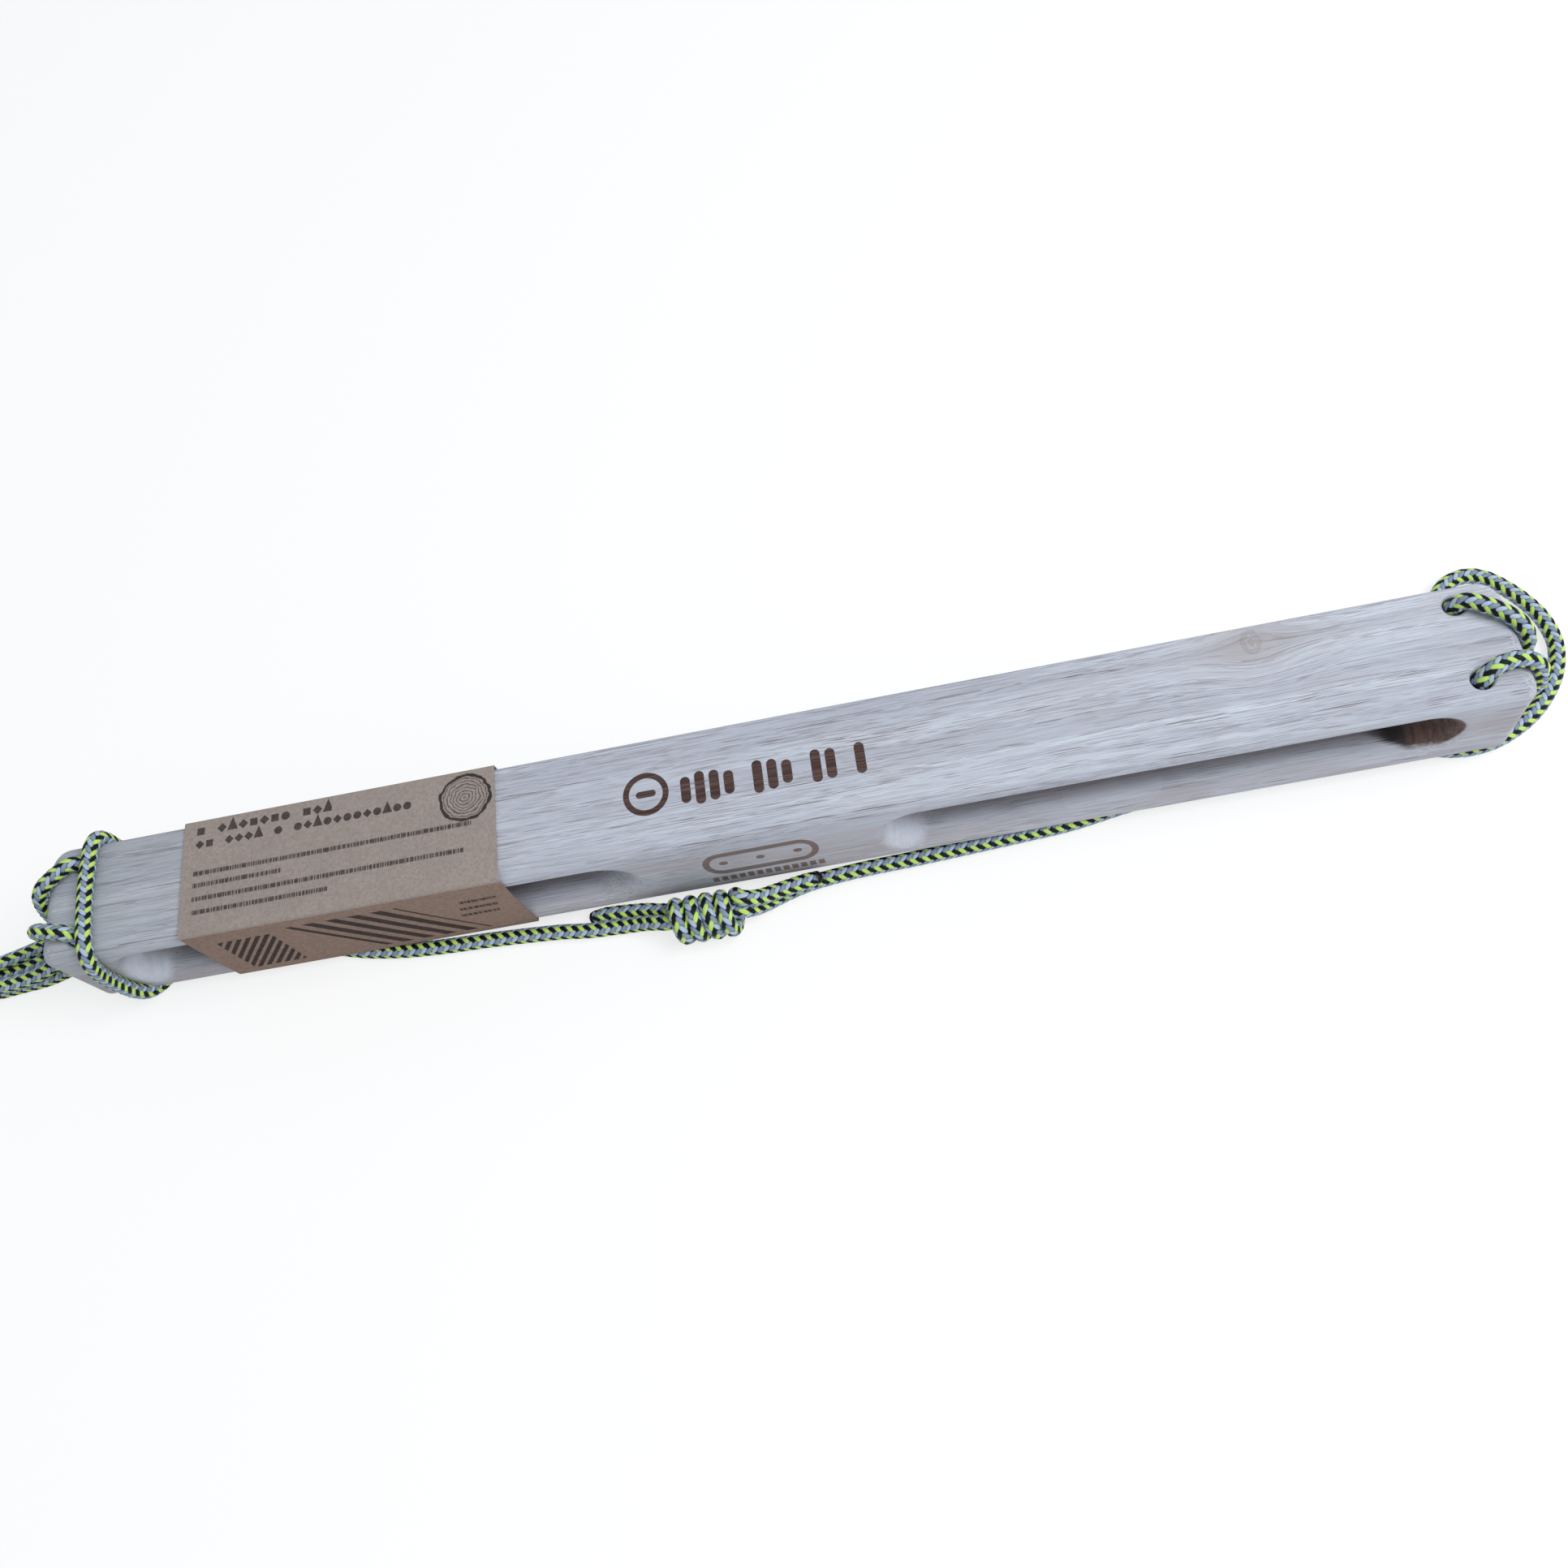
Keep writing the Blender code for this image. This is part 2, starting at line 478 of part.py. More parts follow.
def thinned(points, turn=14.0, longest=24.0, shortest=1.4):
    """Fewer points where the line is nearly straight, more where it bends, and both ends square to it."""
    run = np.concatenate([[0], np.cumsum(np.linalg.norm(np.diff(points, axis=0), axis=1))])
    first = int(np.argmax(run > END_STRAIGHT))
    last = int(np.argmax(run > run[-1] - END_STRAIGHT)) - 1
    kept = [0, first]
    gone = 0.0
    bent = 0.0
    for i in range(first + 1, last):
        before = points[i] - points[i - 1]
        after = points[i + 1] - points[i]
        gone += float(np.linalg.norm(before))
        cosine = np.dot(before, after) / (np.linalg.norm(before) * np.linalg.norm(after))
        bent += math.degrees(math.acos(max(-1.0, min(1.0, cosine))))
        if gone >= longest or (bent >= turn and gone >= shortest):
            kept.append(i)
            gone = 0.0
            bent = 0.0
    if gone < shortest and len(kept) > 2:
        kept.pop()
    return points[kept + [last, len(points) - 1]]


def make_tube(name, points, surface, resolution=2):
    data = bpy.data.curves.new(name, "CURVE")
    data.dimensions = "3D"
    data.bevel_depth = CORD_R
    data.bevel_resolution = resolution
    data.use_fill_caps = True
    spline = data.splines.new("POLY")
    spline.points.add(len(points) - 1)
    for place, point in zip(spline.points, points):
        place.co = (*(float(value) * MM for value in point), 1.0)
    data.materials.append(surface)
    made = bpy.data.objects.new(name, data)
    bpy.context.scene.collection.objects.link(made)
    return made


def flatten_under(tube, surface):
    """Turns a tube into a mesh and cuts it flat where the board stands on it."""
    graph = bpy.context.evaluated_depsgraph_get()
    graph.update()
    data = bpy.data.meshes.new_from_object(tube.evaluated_get(graph))
    name = tube.name
    bpy.data.objects.remove(tube, do_unlink=True)
    bm = bmesh.new()
    bm.from_mesh(data)
    bmesh.ops.remove_doubles(bm, verts=bm.verts, dist=1e-6)
    made = mesh_object(name, bm, surface, 60.0)
    low = bmesh.new()
    bmesh.ops.create_cube(low, size=1.0)
    for vert in low.verts:
        vert.co = (vert.co.x * 8 * CORD_D, vert.co.y * 2 * BAR_WIDTH, (vert.co.z - 0.5) * 2 * CORD_D)
    side = 1 if name.endswith("right") else -1
    floor = as_cutter(mesh_object("floor_" + name, low))
    floor.location.x = side * HOLE_X
    cut(made, floor)
    return made


def make_cord(surface):
    points = [point for _, stretch in STRETCHES for point in stretch]
    line, run, at = smooth_line(points)
    lengths = {}
    count = 0
    half_gap = FACE_GAP / MM / 2
    for name, stretch in STRETCHES:
        start = at[count]
        count += len(stretch)
        end = at[min(count, len(points) - 1)]
        lengths[name] = end - start
        piece = part_of(line, run, start + half_gap, end - half_gap)
        resolution = 1 if "hank" in name else 2
        tube = make_tube(name, thinned(piece), surface, resolution)
        if "lacing" in name:
            flatten_under(tube, surface)
    print("cord loop", round(float(run[-1])), "mm:", {name: round(float(value)) for name, value in lengths.items()})
    wraps = knot_wraps()
    knot = TAIL_LEFT + wraps + TAIL_RIGHT
    line, run, at = smooth_line(knot, 6)
    bounds = (0.0, at[len(TAIL_LEFT) - 2], at[len(TAIL_LEFT) + len(wraps) + 1], run[-1])
    for name, start, end in zip(("cord_tail_left", "knot_wraps", "cord_tail_right"), bounds, bounds[1:]):
        first = 0 if name == "cord_tail_left" else half_gap
        last = 0 if name == "cord_tail_right" else half_gap
        piece = part_of(line, run, start + first, end - last)
        wound = name == "knot_wraps"
        make_tube(name, thinned(piece), surface, 1 if wound else 2)
        print(name, round(float(end - start)), "mm")
    report_gap("knot_wraps", np.array(wraps))
    report_gap("cord_hank_inner", smooth_line(HANK_INNER)[0])
    report_gap("cord_hank_outer", smooth_line(HANK_OUTER)[0])


def report_gap(name, points):
    """Prints the least gap between turns, from points at least two diameters apart along the line."""
    run = np.concatenate([[0], np.cumsum(np.linalg.norm(np.diff(points, axis=0), axis=1))])
    least = 1e9
    for i, point in enumerate(points):
        far = run - run[i] > 2 * CORD_D / MM
        if far.any():
            least = min(least, float(np.linalg.norm(points[far] - point, axis=1).min()))
    print(name, "least gap between turns", round(least - CORD_D / MM, 2), "mm")


def make_tie(surface):
    """A flat band round the four strands of the folded spare cord."""
    bm = bmesh.new()
    sections = []
    for grow in (0, TIE_THICK):
        reach = CORD_R + TIE_CLEARANCE + grow
        half = STRAND_SPACING / 2 + reach
        sections.append(rounded_frame(half, half, reach))
    skin_sleeve(bm, sections[0], sections[1], TIE_WIDTH)
    tie = mesh_object("hank_tie", bm, surface)
    tie.location = (TIE_X, TIE_Y, (TIE_LOW + TIE_HIGH) / 2)
    return tie


clear_scene()
pale_wood = material("pale_wood", (0.52, 0.50, 0.49), 0.62)
brown_card = material("brown_card", (0.42, 0.34, 0.27), 0.85)
braided_cord = material("braided_cord", (0.33, 0.40, 0.30), 0.6)
dark_tie = material("dark_tie", (0.03, 0.03, 0.035), 0.7)

bar = make_bar(pale_wood)
for side_name, side_x in (("right", 1), ("left", -1)):
    cut(bar, make_pocket_cutter("pocket_front_" + side_name, side_x, -1, FRONT_DEPTH))
    cut(bar, make_pocket_cutter("pocket_back_" + side_name, side_x, 1, BACK_DEPTH))
    for face_name, side_y in (("front", -1), ("back", 1)):
        cut(bar, make_hole_cutter("hole_" + face_name + "_" + side_name, side_x * HOLE_X, side_y * HOLE_Y))
make_sleeve(brown_card)
make_cord(braided_cord)
make_tie(dark_tie)
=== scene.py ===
# %% [markdown]
# # A portable hangboard with its cord and card sleeve
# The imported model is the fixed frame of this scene. Every piece made here stands in for one of its nodes
# and is built in the same coordinates, in metres, so nothing has to be fitted afterwards.

# %% Load the frame
import math
from functools import partialmethod, reduce

import bmesh
import bpy
import numpy as np
from mathutils import Matrix, Vector


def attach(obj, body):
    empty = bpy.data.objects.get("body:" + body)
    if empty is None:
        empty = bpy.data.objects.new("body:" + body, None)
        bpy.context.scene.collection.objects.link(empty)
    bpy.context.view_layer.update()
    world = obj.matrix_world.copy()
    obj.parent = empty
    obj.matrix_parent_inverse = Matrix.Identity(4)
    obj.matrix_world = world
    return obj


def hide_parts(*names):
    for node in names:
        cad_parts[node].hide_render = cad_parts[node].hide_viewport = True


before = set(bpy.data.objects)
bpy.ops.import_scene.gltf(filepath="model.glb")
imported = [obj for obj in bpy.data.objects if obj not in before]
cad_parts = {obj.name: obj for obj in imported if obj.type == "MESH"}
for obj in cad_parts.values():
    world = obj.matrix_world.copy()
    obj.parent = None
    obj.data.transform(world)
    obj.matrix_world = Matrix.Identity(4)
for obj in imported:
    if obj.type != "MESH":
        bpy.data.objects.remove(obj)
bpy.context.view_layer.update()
bpy.ops.object.select_all(action="DESELECT")

# %% [markdown]
# ## The camera
# The photograph was taken from the front and well above. Its position, direction and lens were solved from the
# bar's own edges, so the camera is given by those numbers and nothing in the scene is bent to suit it.

# %% The camera
camera_data = bpy.data.cameras.new("camera")
camera_data.sensor_width = 36.0
camera_data.lens = 32.56
camera_data.clip_start = 0.01
camera = bpy.data.objects.new("camera", camera_data)
bpy.context.scene.collection.objects.link(camera)
camera.matrix_world = Matrix((
    (0.97835, 0.181, 0.1004, 0.06115),
    (-0.1214, 0.89469, -0.42987, -0.20514),
    (-0.16763, 0.40837, 0.89729, 0.4643),
    (0.0, 0.0, 0.0, 1.0),
))
bpy.context.scene.camera = camera
print("camera at", [round(value, 4) for value in camera.location])

# %% [markdown]
# ## Measures of the bar
# A few lengths are shared by several pieces: half the bar's depth, the heights of its underside, top and middle, and
# the places of its holes. CORD_D is the cord's diameter, and LYING is how high its middle is where it lies on the
# table. Like every length in this scene they are in millimetres, and MM turns them into metres in a mesh.

# %% Measures
MM = 0.001
BAR_HALF = 20.75
BAR_LOW, BAR_HIGH = 7.0, 47.5
BAR_MIDDLE = (BAR_LOW + BAR_HIGH) / 2
HOLE_X, HOLE_Y = 234.5, 13.6
CORD_D = 5.8
LYING = 3
print("the bar's middle is", BAR_MIDDLE, "mm up, and its holes are", 2 * HOLE_X, "mm apart")

# %% [markdown]
# ## The route of the cord
# One cord goes through all four holes and is tied to itself. It lies on the table, climbs the bar's ends and is
# folded beyond the left end, so its route is a list of points for each stretch between two places where something
# changes. A point without a height lies on the table. The stretches share one smooth line, so the braid runs on from
# each to the next. Both ends of the bar are laced alike, so that part of their routes is computed.

# %% The points of the route
def stitch(x):
    """The points down the back hole, under the bar and up the front hole."""
    down = [(x, HOLE_Y, 42.5), (x, HOLE_Y, BAR_MIDDLE), (x, HOLE_Y, 12), (x, 13.3, 7.5), (x, 11.4, 3.9),
            (x, 8.2, 2.42), (x, 4.6, 2.32)]
    return down + [(x, 0, 2.32)] + [(x, -y, z) for x, y, z in reversed(down)]


ROUTE = {
    "cord_run_right": [
        (-23.3, -31.6, 9.15), (-16.8, -31.6, 9.15), (-10.1, -31.6, 8.6), (-6.4, -30.6, 6), (-2.4, -28.9, 3.7),
        (2.2, -27.1), (7.2, -25.6), (14, -24), (24, -22.8), (36, -22.1), (50.5, -21.7), (69.3, -20.9),
        (87.8, -20), (106.3, -18.9), (124.6, -16.2), (142, -13.9), (165, -12.6), (190, -12.8), (206, -11.8),
        (221, -12.7),
    ],
    "cord_end_loop": [
        (235, -16.9), (242, -17.5), (249.2, -16.5), (256.3, -13.8), (262.5, -10.3), (268, -5.9), (272.6, -0.9),
        (276, 4), (278.5, 9.5), (279.9, 15), (279.9, 20.5), (278.6, 27), (275.6, 33.5), (271.5, 39.5),
        (266.5, 44.8), (261, 47.3), (255.4, 46.8), (250.6, 43.9), (247.6, 39.4), (246.6, 33.5), (247, 27),
        (248, 20.5), (249.8, 14.5), (252.8, 9, 3.4), (255.9, 4.4, 5.9), (257.2, 1.6, 11), (256.2, 0.7, 18),
    ],
    "cord_lacing_right": [
        (255.3, 0.2, 25), (254.8, -0.6, 30.5), (254.4, -1, 36.1), (253.8, 0.2, 43.1), (251.2, 2.6, 48.2),
        (246.8, 6.4, 50.5), (242, 9.9, 50.9), (237.4, 12.8, 50.2), (234.6, 13.6, 46.9), *stitch(HOLE_X),
        (234.6, -13.6, 46.9), (237.4, -12.2, 50.3), (241.8, -10.9, 50.9), (246.6, -10.6, 50.4),
        (251.2, -11.5, 48), (253.7, -12.8, 43.5), (254.5, -13, 37.2), (254.9, -11.9, 30.5),
    ],
    "cord_back_run": [
        (254.5, -10.3, 25), (255.4, -9, 18), (256.2, -7.9, 11), (254.8, -6.6, 5.9), (251.2, -4.8, 3.5),
        (246.2, -2), (242.4, 3), (241, 10), (240.2, 17), (237, 23.6), (231, 28), (220, 28.6), (205, 27.2),
        (170, 26.3), (130, 26), (90, 26.4), (50, 26), (10, 26.4), (-30, 26), (-80, 26.3), (-130, 26),
        (-180, 26.3), (-215, 26.2), (-234, 25.6), (-246, 20.6), (-255, 13.6), (-263, 7), (-272, 1.6),
        (-283, -2), (-295, -3.8, 3.1), (-304.5, -4.1, 4.5), (-309, -4.1, 4.7),
    ],
    "cord_hank_inner": [
        (-313, -4.1, 4.7), (-317, -4.1, 4.7), (-325, -2.8, 3.8), (-334, -0.6), (-344, 2.8), (-355, 6.6),
        (-368, 10.8), (-383, 13.6), (-400, 14.3), (-408.8, 11.94), (-415.24, 5.5), (-417.6, -3.3),
        (-415.24, -12.1), (-408.8, -18.54), (-400, -20.9), (-383, -20.2), (-368, -17.9), (-355, -14.9),
        (-344, -12, 3.7), (-334, -10, 6.8), (-325, -9.5, 10), (-317, -10.3, 10.9), (-313, -10.3, 10.9),
    ],
    "cord_exit_upper": [
        (-308, -10.3, 10.9), (-300, -10.4, 10), (-291, -10.5, 9.5), (-284, -10, 9.2), (-277, -8.9, 9.3),
        (-268.5, -6.4, 10.4), (-262, -3.7, 13), (-258.2, -1.9, 17.2), (-255.8, -0.8, 23),
    ],
    "cord_lacing_left": [
        (-253.2, -0.2, 28.5), (-252.3, 0, 32), (-251.8, 0.6, 37.1), (-251.5, 2.2, 42.1), (-250.2, 4, 46.7),
        (-247.6, 6, 49.6), (-244.6, 8, 50.6), (-241.2, 10.4, 50.8), (-237.6, 12.8, 50.2), (-234.6, 13.6, 46.9),
        *stitch(-HOLE_X), (-234.6, -13.6, 46.9), (-237.6, -12.6, 50.2), (-242, -11.6, 50.8),
        (-245.8, -10.6, 50.4), (-249.4, -9.3, 48), (-251.3, -8.2, 43.1), (-251.9, -8.1, 36.7),
        (-252.7, -8.3, 30.5),
    ],
    "cord_exit_lower": [
        (-253.8, -8.2, 25), (-255.4, -7.6, 18), (-258.2, -6.7, 11), (-263, -6.3, 5.8), (-269.6, -7, 3.2),
        (-276, -8.4), (-286, -9.3), (-296, -10.1, 3.2), (-304.5, -10.3, 4.5), (-309, -10.3, 4.7),
    ],
    "cord_hank_outer": [
        (-313, -10.3, 4.7), (-317, -10.3, 4.7), (-325, -12.7, 3.8), (-334, -15.7), (-344, -19), (-355, -22),
        (-368, -24.8), (-383, -27), (-400, -27.6), (-412.15, -24.34), (-421.04, -15.45), (-424.3, -3.3),
        (-421.04, 8.85), (-412.15, 17.74), (-400, 21), (-383, 20.5), (-368, 17.8), (-355, 13.8),
        (-344, 9.7, 3.7), (-334, 4.8, 7.5), (-325, -0.9, 10.5), (-317, -4.1, 10.9), (-313, -4.1, 10.9),
    ],
    "cord_cross_wrap": [
        (-308, -4.1, 10.9), (-300.5, -3.3, 9.8), (-292, -0.6, 7.9), (-284, 2.6, 5.6), (-274, 7, 3.6),
        (-265, 13.4, 3.2), (-257, 20.6, 4.2), (-248.5, 27.05, 7.2), (-240.5, 29.55, 12.6), (-234.4, 27.95, 19),
        (-231, 24.85, 27.5), (-229.5, 23.7, 36.5), (-229.4, 23.5, 43.3), (-229.4, 22.2, 47.9),
        (-229.8, 18.35, 50.4), (-230.3, 12, 50.6), (-230.6, 4, 50.5), (-230.4, -4, 50.5), (-230, -11, 50.5),
        (-229.7, -16, 50.3), (-229.8, -20.35, 48.4), (-230.7, -23, 44), (-232.2, -23.6, 37.2),
        (-233.2, -23.6, 29.2), (-233.4, -23.6, 21.5), (-232.8, -23.5, 14.5), (-231.4, -22.4, 8.6),
        (-229.3, -19, 4.3), (-224.6, -14.4),
    ],
    "cord_run_left": [
        (-212, -12.6), (-194, -12.2), (-178, -13.2), (-162, -16.4), (-148, -20), (-134, -22.2), (-119, -23.3),
        (-102.7, -23.9), (-87.5, -24.8), (-76, -25.7), (-67, -26.9), (-58, -27.4), (-51, -28, 3.8),
        (-45.4, -29, 5.8), (-41, -30.3, 7.9), (-37, -31.4, 9.05), (-29.8, -31.6, 9.15), (-23.3, -31.6, 9.15),
    ],
}
TAIL_LEFT = [
    (-66, -22.6), (-61, -22.3), (-55, -22.5), (-49.5, -23, 3.2), (-44, -23.9, 3.9), (-39.6, -25.2, 4.7),
]
TAIL_RIGHT = [
    (-9.3, -28.7, 13.2), (-6.4, -29, 12), (-2.8, -28.3, 9.9), (1.8, -27.1, 8.7), (7.5, -26, 8.4),
    (13, -25.2, 8.6), (19.2, -24.4, 9.4),
]
print(len(ROUTE), "stretches through", sum(len(points) for points in ROUTE.values()), "points")

# %% [markdown]
# ## The wraps of the knot
# The two ends of the cord are joined where one winds four times round both. Wraps pressed side by side lie on a
# helix, one cord and a little apart, so they are computed and not placed by hand.

# %% The wraps
KNOT = Vector((-23.3, -31.6, 8.6))
WRAP_PITCH = 5.4
WRAP_RADIUS = 5.6
WRAP_MIDDLE = 675


def knot_wraps():
    """Points round the two strands, one every 15 degrees."""
    points = []
    for degrees in range(-20, 1495, 15):
        along = WRAP_PITCH * (degrees - WRAP_MIDDLE) / 360
        a = math.radians(degrees)
        points.append((KNOT.x + along, KNOT.y + WRAP_RADIUS * math.cos(a), KNOT.z + WRAP_RADIUS * math.sin(a)))
    return points


print("the wraps take", len(knot_wraps()), "points")

# %% [markdown]
# ## A smooth line and its frames
# A centripetal Catmull-Rom curve passes through every point without loops. A normal is then carried along the
# line, each from the one before it, so a tube built on those normals never twists.

# %% A smooth line
def blend(t, t0, t1, p0, p1):
    """The point reached at t on the way from p0 at t0 to p1 at t1."""
    return ((t1 - t) * p0 + (t - t0) * p1) / (t1 - t0)


def smooth_line(points, steps=12):
    """The curve through the points, how far along it each of its own points is, and that for the chosen points."""
    chosen = np.array([(*point, LYING)[:3] for point in points], float)
    ends = np.vstack([2 * chosen[0] - chosen[1], chosen, 2 * chosen[-1] - chosen[-2]])
    line = []
    for p0, p1, p2, p3 in zip(ends, ends[1:], ends[2:], ends[3:]):
        gaps = [math.sqrt(np.linalg.norm(b - a)) for a, b in ((p0, p1), (p1, p2), (p2, p3))]
        t0, t1, t2, t3 = np.cumsum([0] + gaps)
        for t in np.linspace(t1, t2, steps, endpoint=False):
            a1, a2, a3 = blend(t, t0, t1, p0, p1), blend(t, t1, t2, p1, p2), blend(t, t2, t3, p2, p3)
            b1, b2 = blend(t, t0, t2, a1, a2), blend(t, t1, t3, a2, a3)
            line.append(blend(t, t1, t2, b1, b2))
    line = np.array(line + [chosen[-1]])
    run = np.concatenate([[0], np.cumsum(np.linalg.norm(np.diff(line, axis=0), axis=1))])
    return line, run, run[::steps]


def unit(rows):
    """The same vectors, each 1 long."""
    return rows / np.linalg.norm(rows, axis=1)[:, None]


def carried_normals(line):
    """A normal at each point of the line, carried there from the point before."""
    tangents = unit(np.gradient(line, axis=0))
    normals = [np.cross(tangents[0], (0.0, 1.0, 0.0))]
    for tangent in tangents:
        carried = normals[-1] - tangent * (normals[-1] @ tangent)
        normals.append(carried / np.linalg.norm(carried))
    return np.array(normals[1:])


# %% [markdown]
# ## The braid
# The cord's sheath is plaited from eight yarns that wind one way and eight that wind the other. Those that wind one
# way are two greys in turn, and those that wind the other way are lime and black in turn. Each yarn passes over two
# others and then under two, as in twill, so the colours lie in columns along the cord. That gives the surface its
# height, which is modelled here, and its colours, which the material works out later from the same numbers.

# %% The braid's height
YARNS = 8
CROSSING = 2.13
DIP = 0.6
# The height along the middle of a yarn, how far it falls to the yarn's edges, and the power of that fall.
COLOURED = (0.8, 1.0, 4.0)
GREY = (0.85, 0.85, 2.0)


def crown(part, top, fall, power):
    """The height across a yarn. part grows by 1 from each yarn to the next."""
    return top - fall * np.abs(2 * (part % 1) - 1) ** power


def braid_height(along, turn):
    """How far the sheath stands out, up to 1. along is in mm and turn in turns round the cord."""
    a = YARNS * turn + along / CROSSING
    b = YARNS * turn - along / CROSSING
    coloured = crown(b, *COLOURED) + DIP * np.sin(np.pi / 2 * (a + np.floor(b)))
    grey = crown(a, *GREY) - DIP * np.sin(np.pi / 2 * (np.floor(a) + b))
    return np.maximum(coloured, grey) / (1 + DIP)


print("height on a yarn", round(float(braid_height(0.0, 1 / 16)), 2))

# %% [markdown]
# ## Turning a route into a tube
# A curve's bevel can't follow a braid, so each tube is built ring by ring. Its UV map runs along the cord in one
# direction and round it in the other, which is what the material needs. A melted tip closes in a small dome, is
# thinner than the rest and is dark as far as it melted.

# %% A braided tube
SIDES = 40
GROOVE, RELIEF = 0.46, 0.42
DOME, MELT = 1.6, 3.2
TAPER, THINNEST = 6.0, 0.74


def braided_tube(name, track, start, end, step, tips=(False, False), swell=0.0):
    """A closed mesh along one stretch of a line, and the points down its middle in metres."""
    line, run, normals = track
    at = np.linspace(start, end, int((end - start) / step) + 2)
    centre, normal = (np.stack([np.interp(at, run, rows[:, k]) for k in range(3)], 1) for rows in (line, normals))
    tangent = unit(np.gradient(centre, axis=0))
    normal = unit(normal - tangent * (normal * tangent).sum(1)[:, None])
    side = np.cross(tangent, normal)
    turn = np.arange(SIDES) / SIDES
    radius = CORD_D / 2 - GROOVE + swell + RELIEF * braid_height(at[:, None], turn[None, :])
    melt = np.zeros(len(at))
    for is_tip, away in zip(tips, (at - start, end - at)):
        if is_tip:
            dome = np.sqrt(np.clip(1 - np.clip(1 - away / DOME, 0, 1) ** 2, 0.02, 1))
            radius *= (dome * (THINNEST + (1 - THINNEST) * np.clip(away / TAPER, 0, 1)))[:, None]
            melt = np.maximum(melt, np.clip(1 - away / MELT, 0, 1))
    cosine, sine = (wave(2 * np.pi * turn)[None, :, None] for wave in (np.cos, np.sin))
    places = centre[:, None] + radius[:, :, None] * (cosine * normal[:, None] + sine * side[:, None])
    places[:, :, 2] = np.maximum(places[:, :, 2], 0.0)
    places = np.vstack([places.reshape(-1, 3), centre[:1], centre[-1:]]) * MM
    index = np.arange(len(at) * SIDES).reshape(len(at), SIDES)
    after = np.roll(index, -1, 1)
    quads = np.stack([index[:-1], after[:-1], after[1:], index[1:]], -1).reshape(-1, 4).tolist()
    first, last = len(places) - 2, len(places) - 1
    caps = [(first, int(b), int(a)) for a, b in zip(index[0], after[0])]
    caps += [(last, int(a), int(b)) for a, b in zip(index[-1], after[-1])]
    mesh = bpy.data.meshes.new(name)
    mesh.from_pydata(places.tolist(), [], quads + caps)
    low = np.meshgrid(at[:-1], turn, indexing="ij")
    high = np.meshgrid(at[1:], turn + 1 / SIDES, indexing="ij")
    corners = np.stack([low[0], low[1], low[0], high[1], high[0], high[1], high[0], low[1]], -1).reshape(-1, 2)
    ends = np.repeat([[at[0], 0.0], [at[-1], 0.0]], 3 * SIDES, axis=0)
    mesh.uv_layers.new(name="braid").uv.foreach_set("vector", np.vstack([corners, ends]).astype(np.float32).ravel())
    melt = np.concatenate([np.repeat(melt, SIDES), melt[:1], melt[-1:]]).astype(np.float32)
    mesh.attributes.new("melt", "FLOAT", "POINT").data.foreach_set("value", melt)
    mesh.shade_smooth()
    piece = bpy.data.objects.new(name, mesh)
    bpy.context.scene.collection.objects.link(piece)
    return piece, [tuple(point) for point in centre[::4] * MM] + [tuple(centre[-1] * MM)]


# %% [markdown]
# ## The cord's pieces
# The loop runs from the middle of the knot round the whole board and back into the knot. Each stretch stands in for
# the node of the same name, so a stretch can be taken out or replaced by itself. Stretches far from the view get
# longer rings, and the braid still passes from one to the next without a step.

# %% The loop of cord
line, run, marks = smooth_line([point for points in ROUTE.values() for point in points])
track = (line, run, carried_normals(line))
cord_pieces = []
first = 0
for name, points in ROUTE.items():
    start = marks[first]
    first += len(points)
    end = marks[min(first, len(marks) - 1)]
    step = 0.55 if "hank" in name or "back" in name else 0.4
    piece, middle = braided_tube(name.replace("cord", "rope"), track, start, end, step)
    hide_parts(name)
    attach(piece, "board")
    cord_pieces.append(piece)
    print(piece.name, round(float(end - start)), "mm,", len(piece.data.polygons), "faces")

# %% [markdown]
# ## The knot and its tails
# The wraps and the two short ends are one cord. Its cut ends were sealed with a flame, so each closes in a small
# dark dome.

# %% The knot
line, run, _ = smooth_line(TAIL_LEFT + knot_wraps() + TAIL_RIGHT, 6)
track = (line, run, carried_normals(line))
knot, middle = braided_tube("rope_knot", track, 0.0, run[-1], 0.32, tips=(True, True), swell=0.12)
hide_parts("knot_wraps", "cord_tail_left", "cord_tail_right")
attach(knot, "board")
cord_pieces.append(knot)
print(knot.name, round(float(run[-1])), "mm,", len(knot.data.polygons), "faces")

# %% [markdown]
# ## Modelling tools
# The wood, the card and the tie start as blocks that are shaped in edit mode. A few helpers save repeating the same
# clicks: they add a block or an open tube between two corners, select by place and apply a modifier.

# %% Blocks and selections
def add_block(name, low, high):
    """A box between two corners, with its place in its mesh."""
    low, high = Vector(low) * MM, Vector(high) * MM
    bpy.ops.mesh.primitive_cube_add(size=1.0, location=(low + high) / 2, scale=high - low)
    bpy.ops.object.transform_apply()
    made = bpy.context.object
    made.name = name
    made.data.name = name
    return made


def pick(kind, test):
    """In edit mode, selects each vertex, edge or face whose corners pass the test."""
    bpy.ops.mesh.select_mode(type=kind)
    bpy.ops.mesh.select_all(action="DESELECT")
    edited = bmesh.from_edit_mesh(bpy.context.object.data)
    for item in {"VERT": edited.verts, "EDGE": edited.edges, "FACE": edited.faces}[kind]:
        verts = [item] if kind == "VERT" else item.verts
        if test([vert.co / MM for vert in verts]):
            item.select_set(True)
    edited.select_flush_mode()
    bmesh.update_edit_mesh(bpy.context.object.data)


def alike(corners, axis):
    """True if all the corners have one value on that axis."""
    values = [corner[axis] for corner in corners]
    return max(values) - min(values) < 0.001


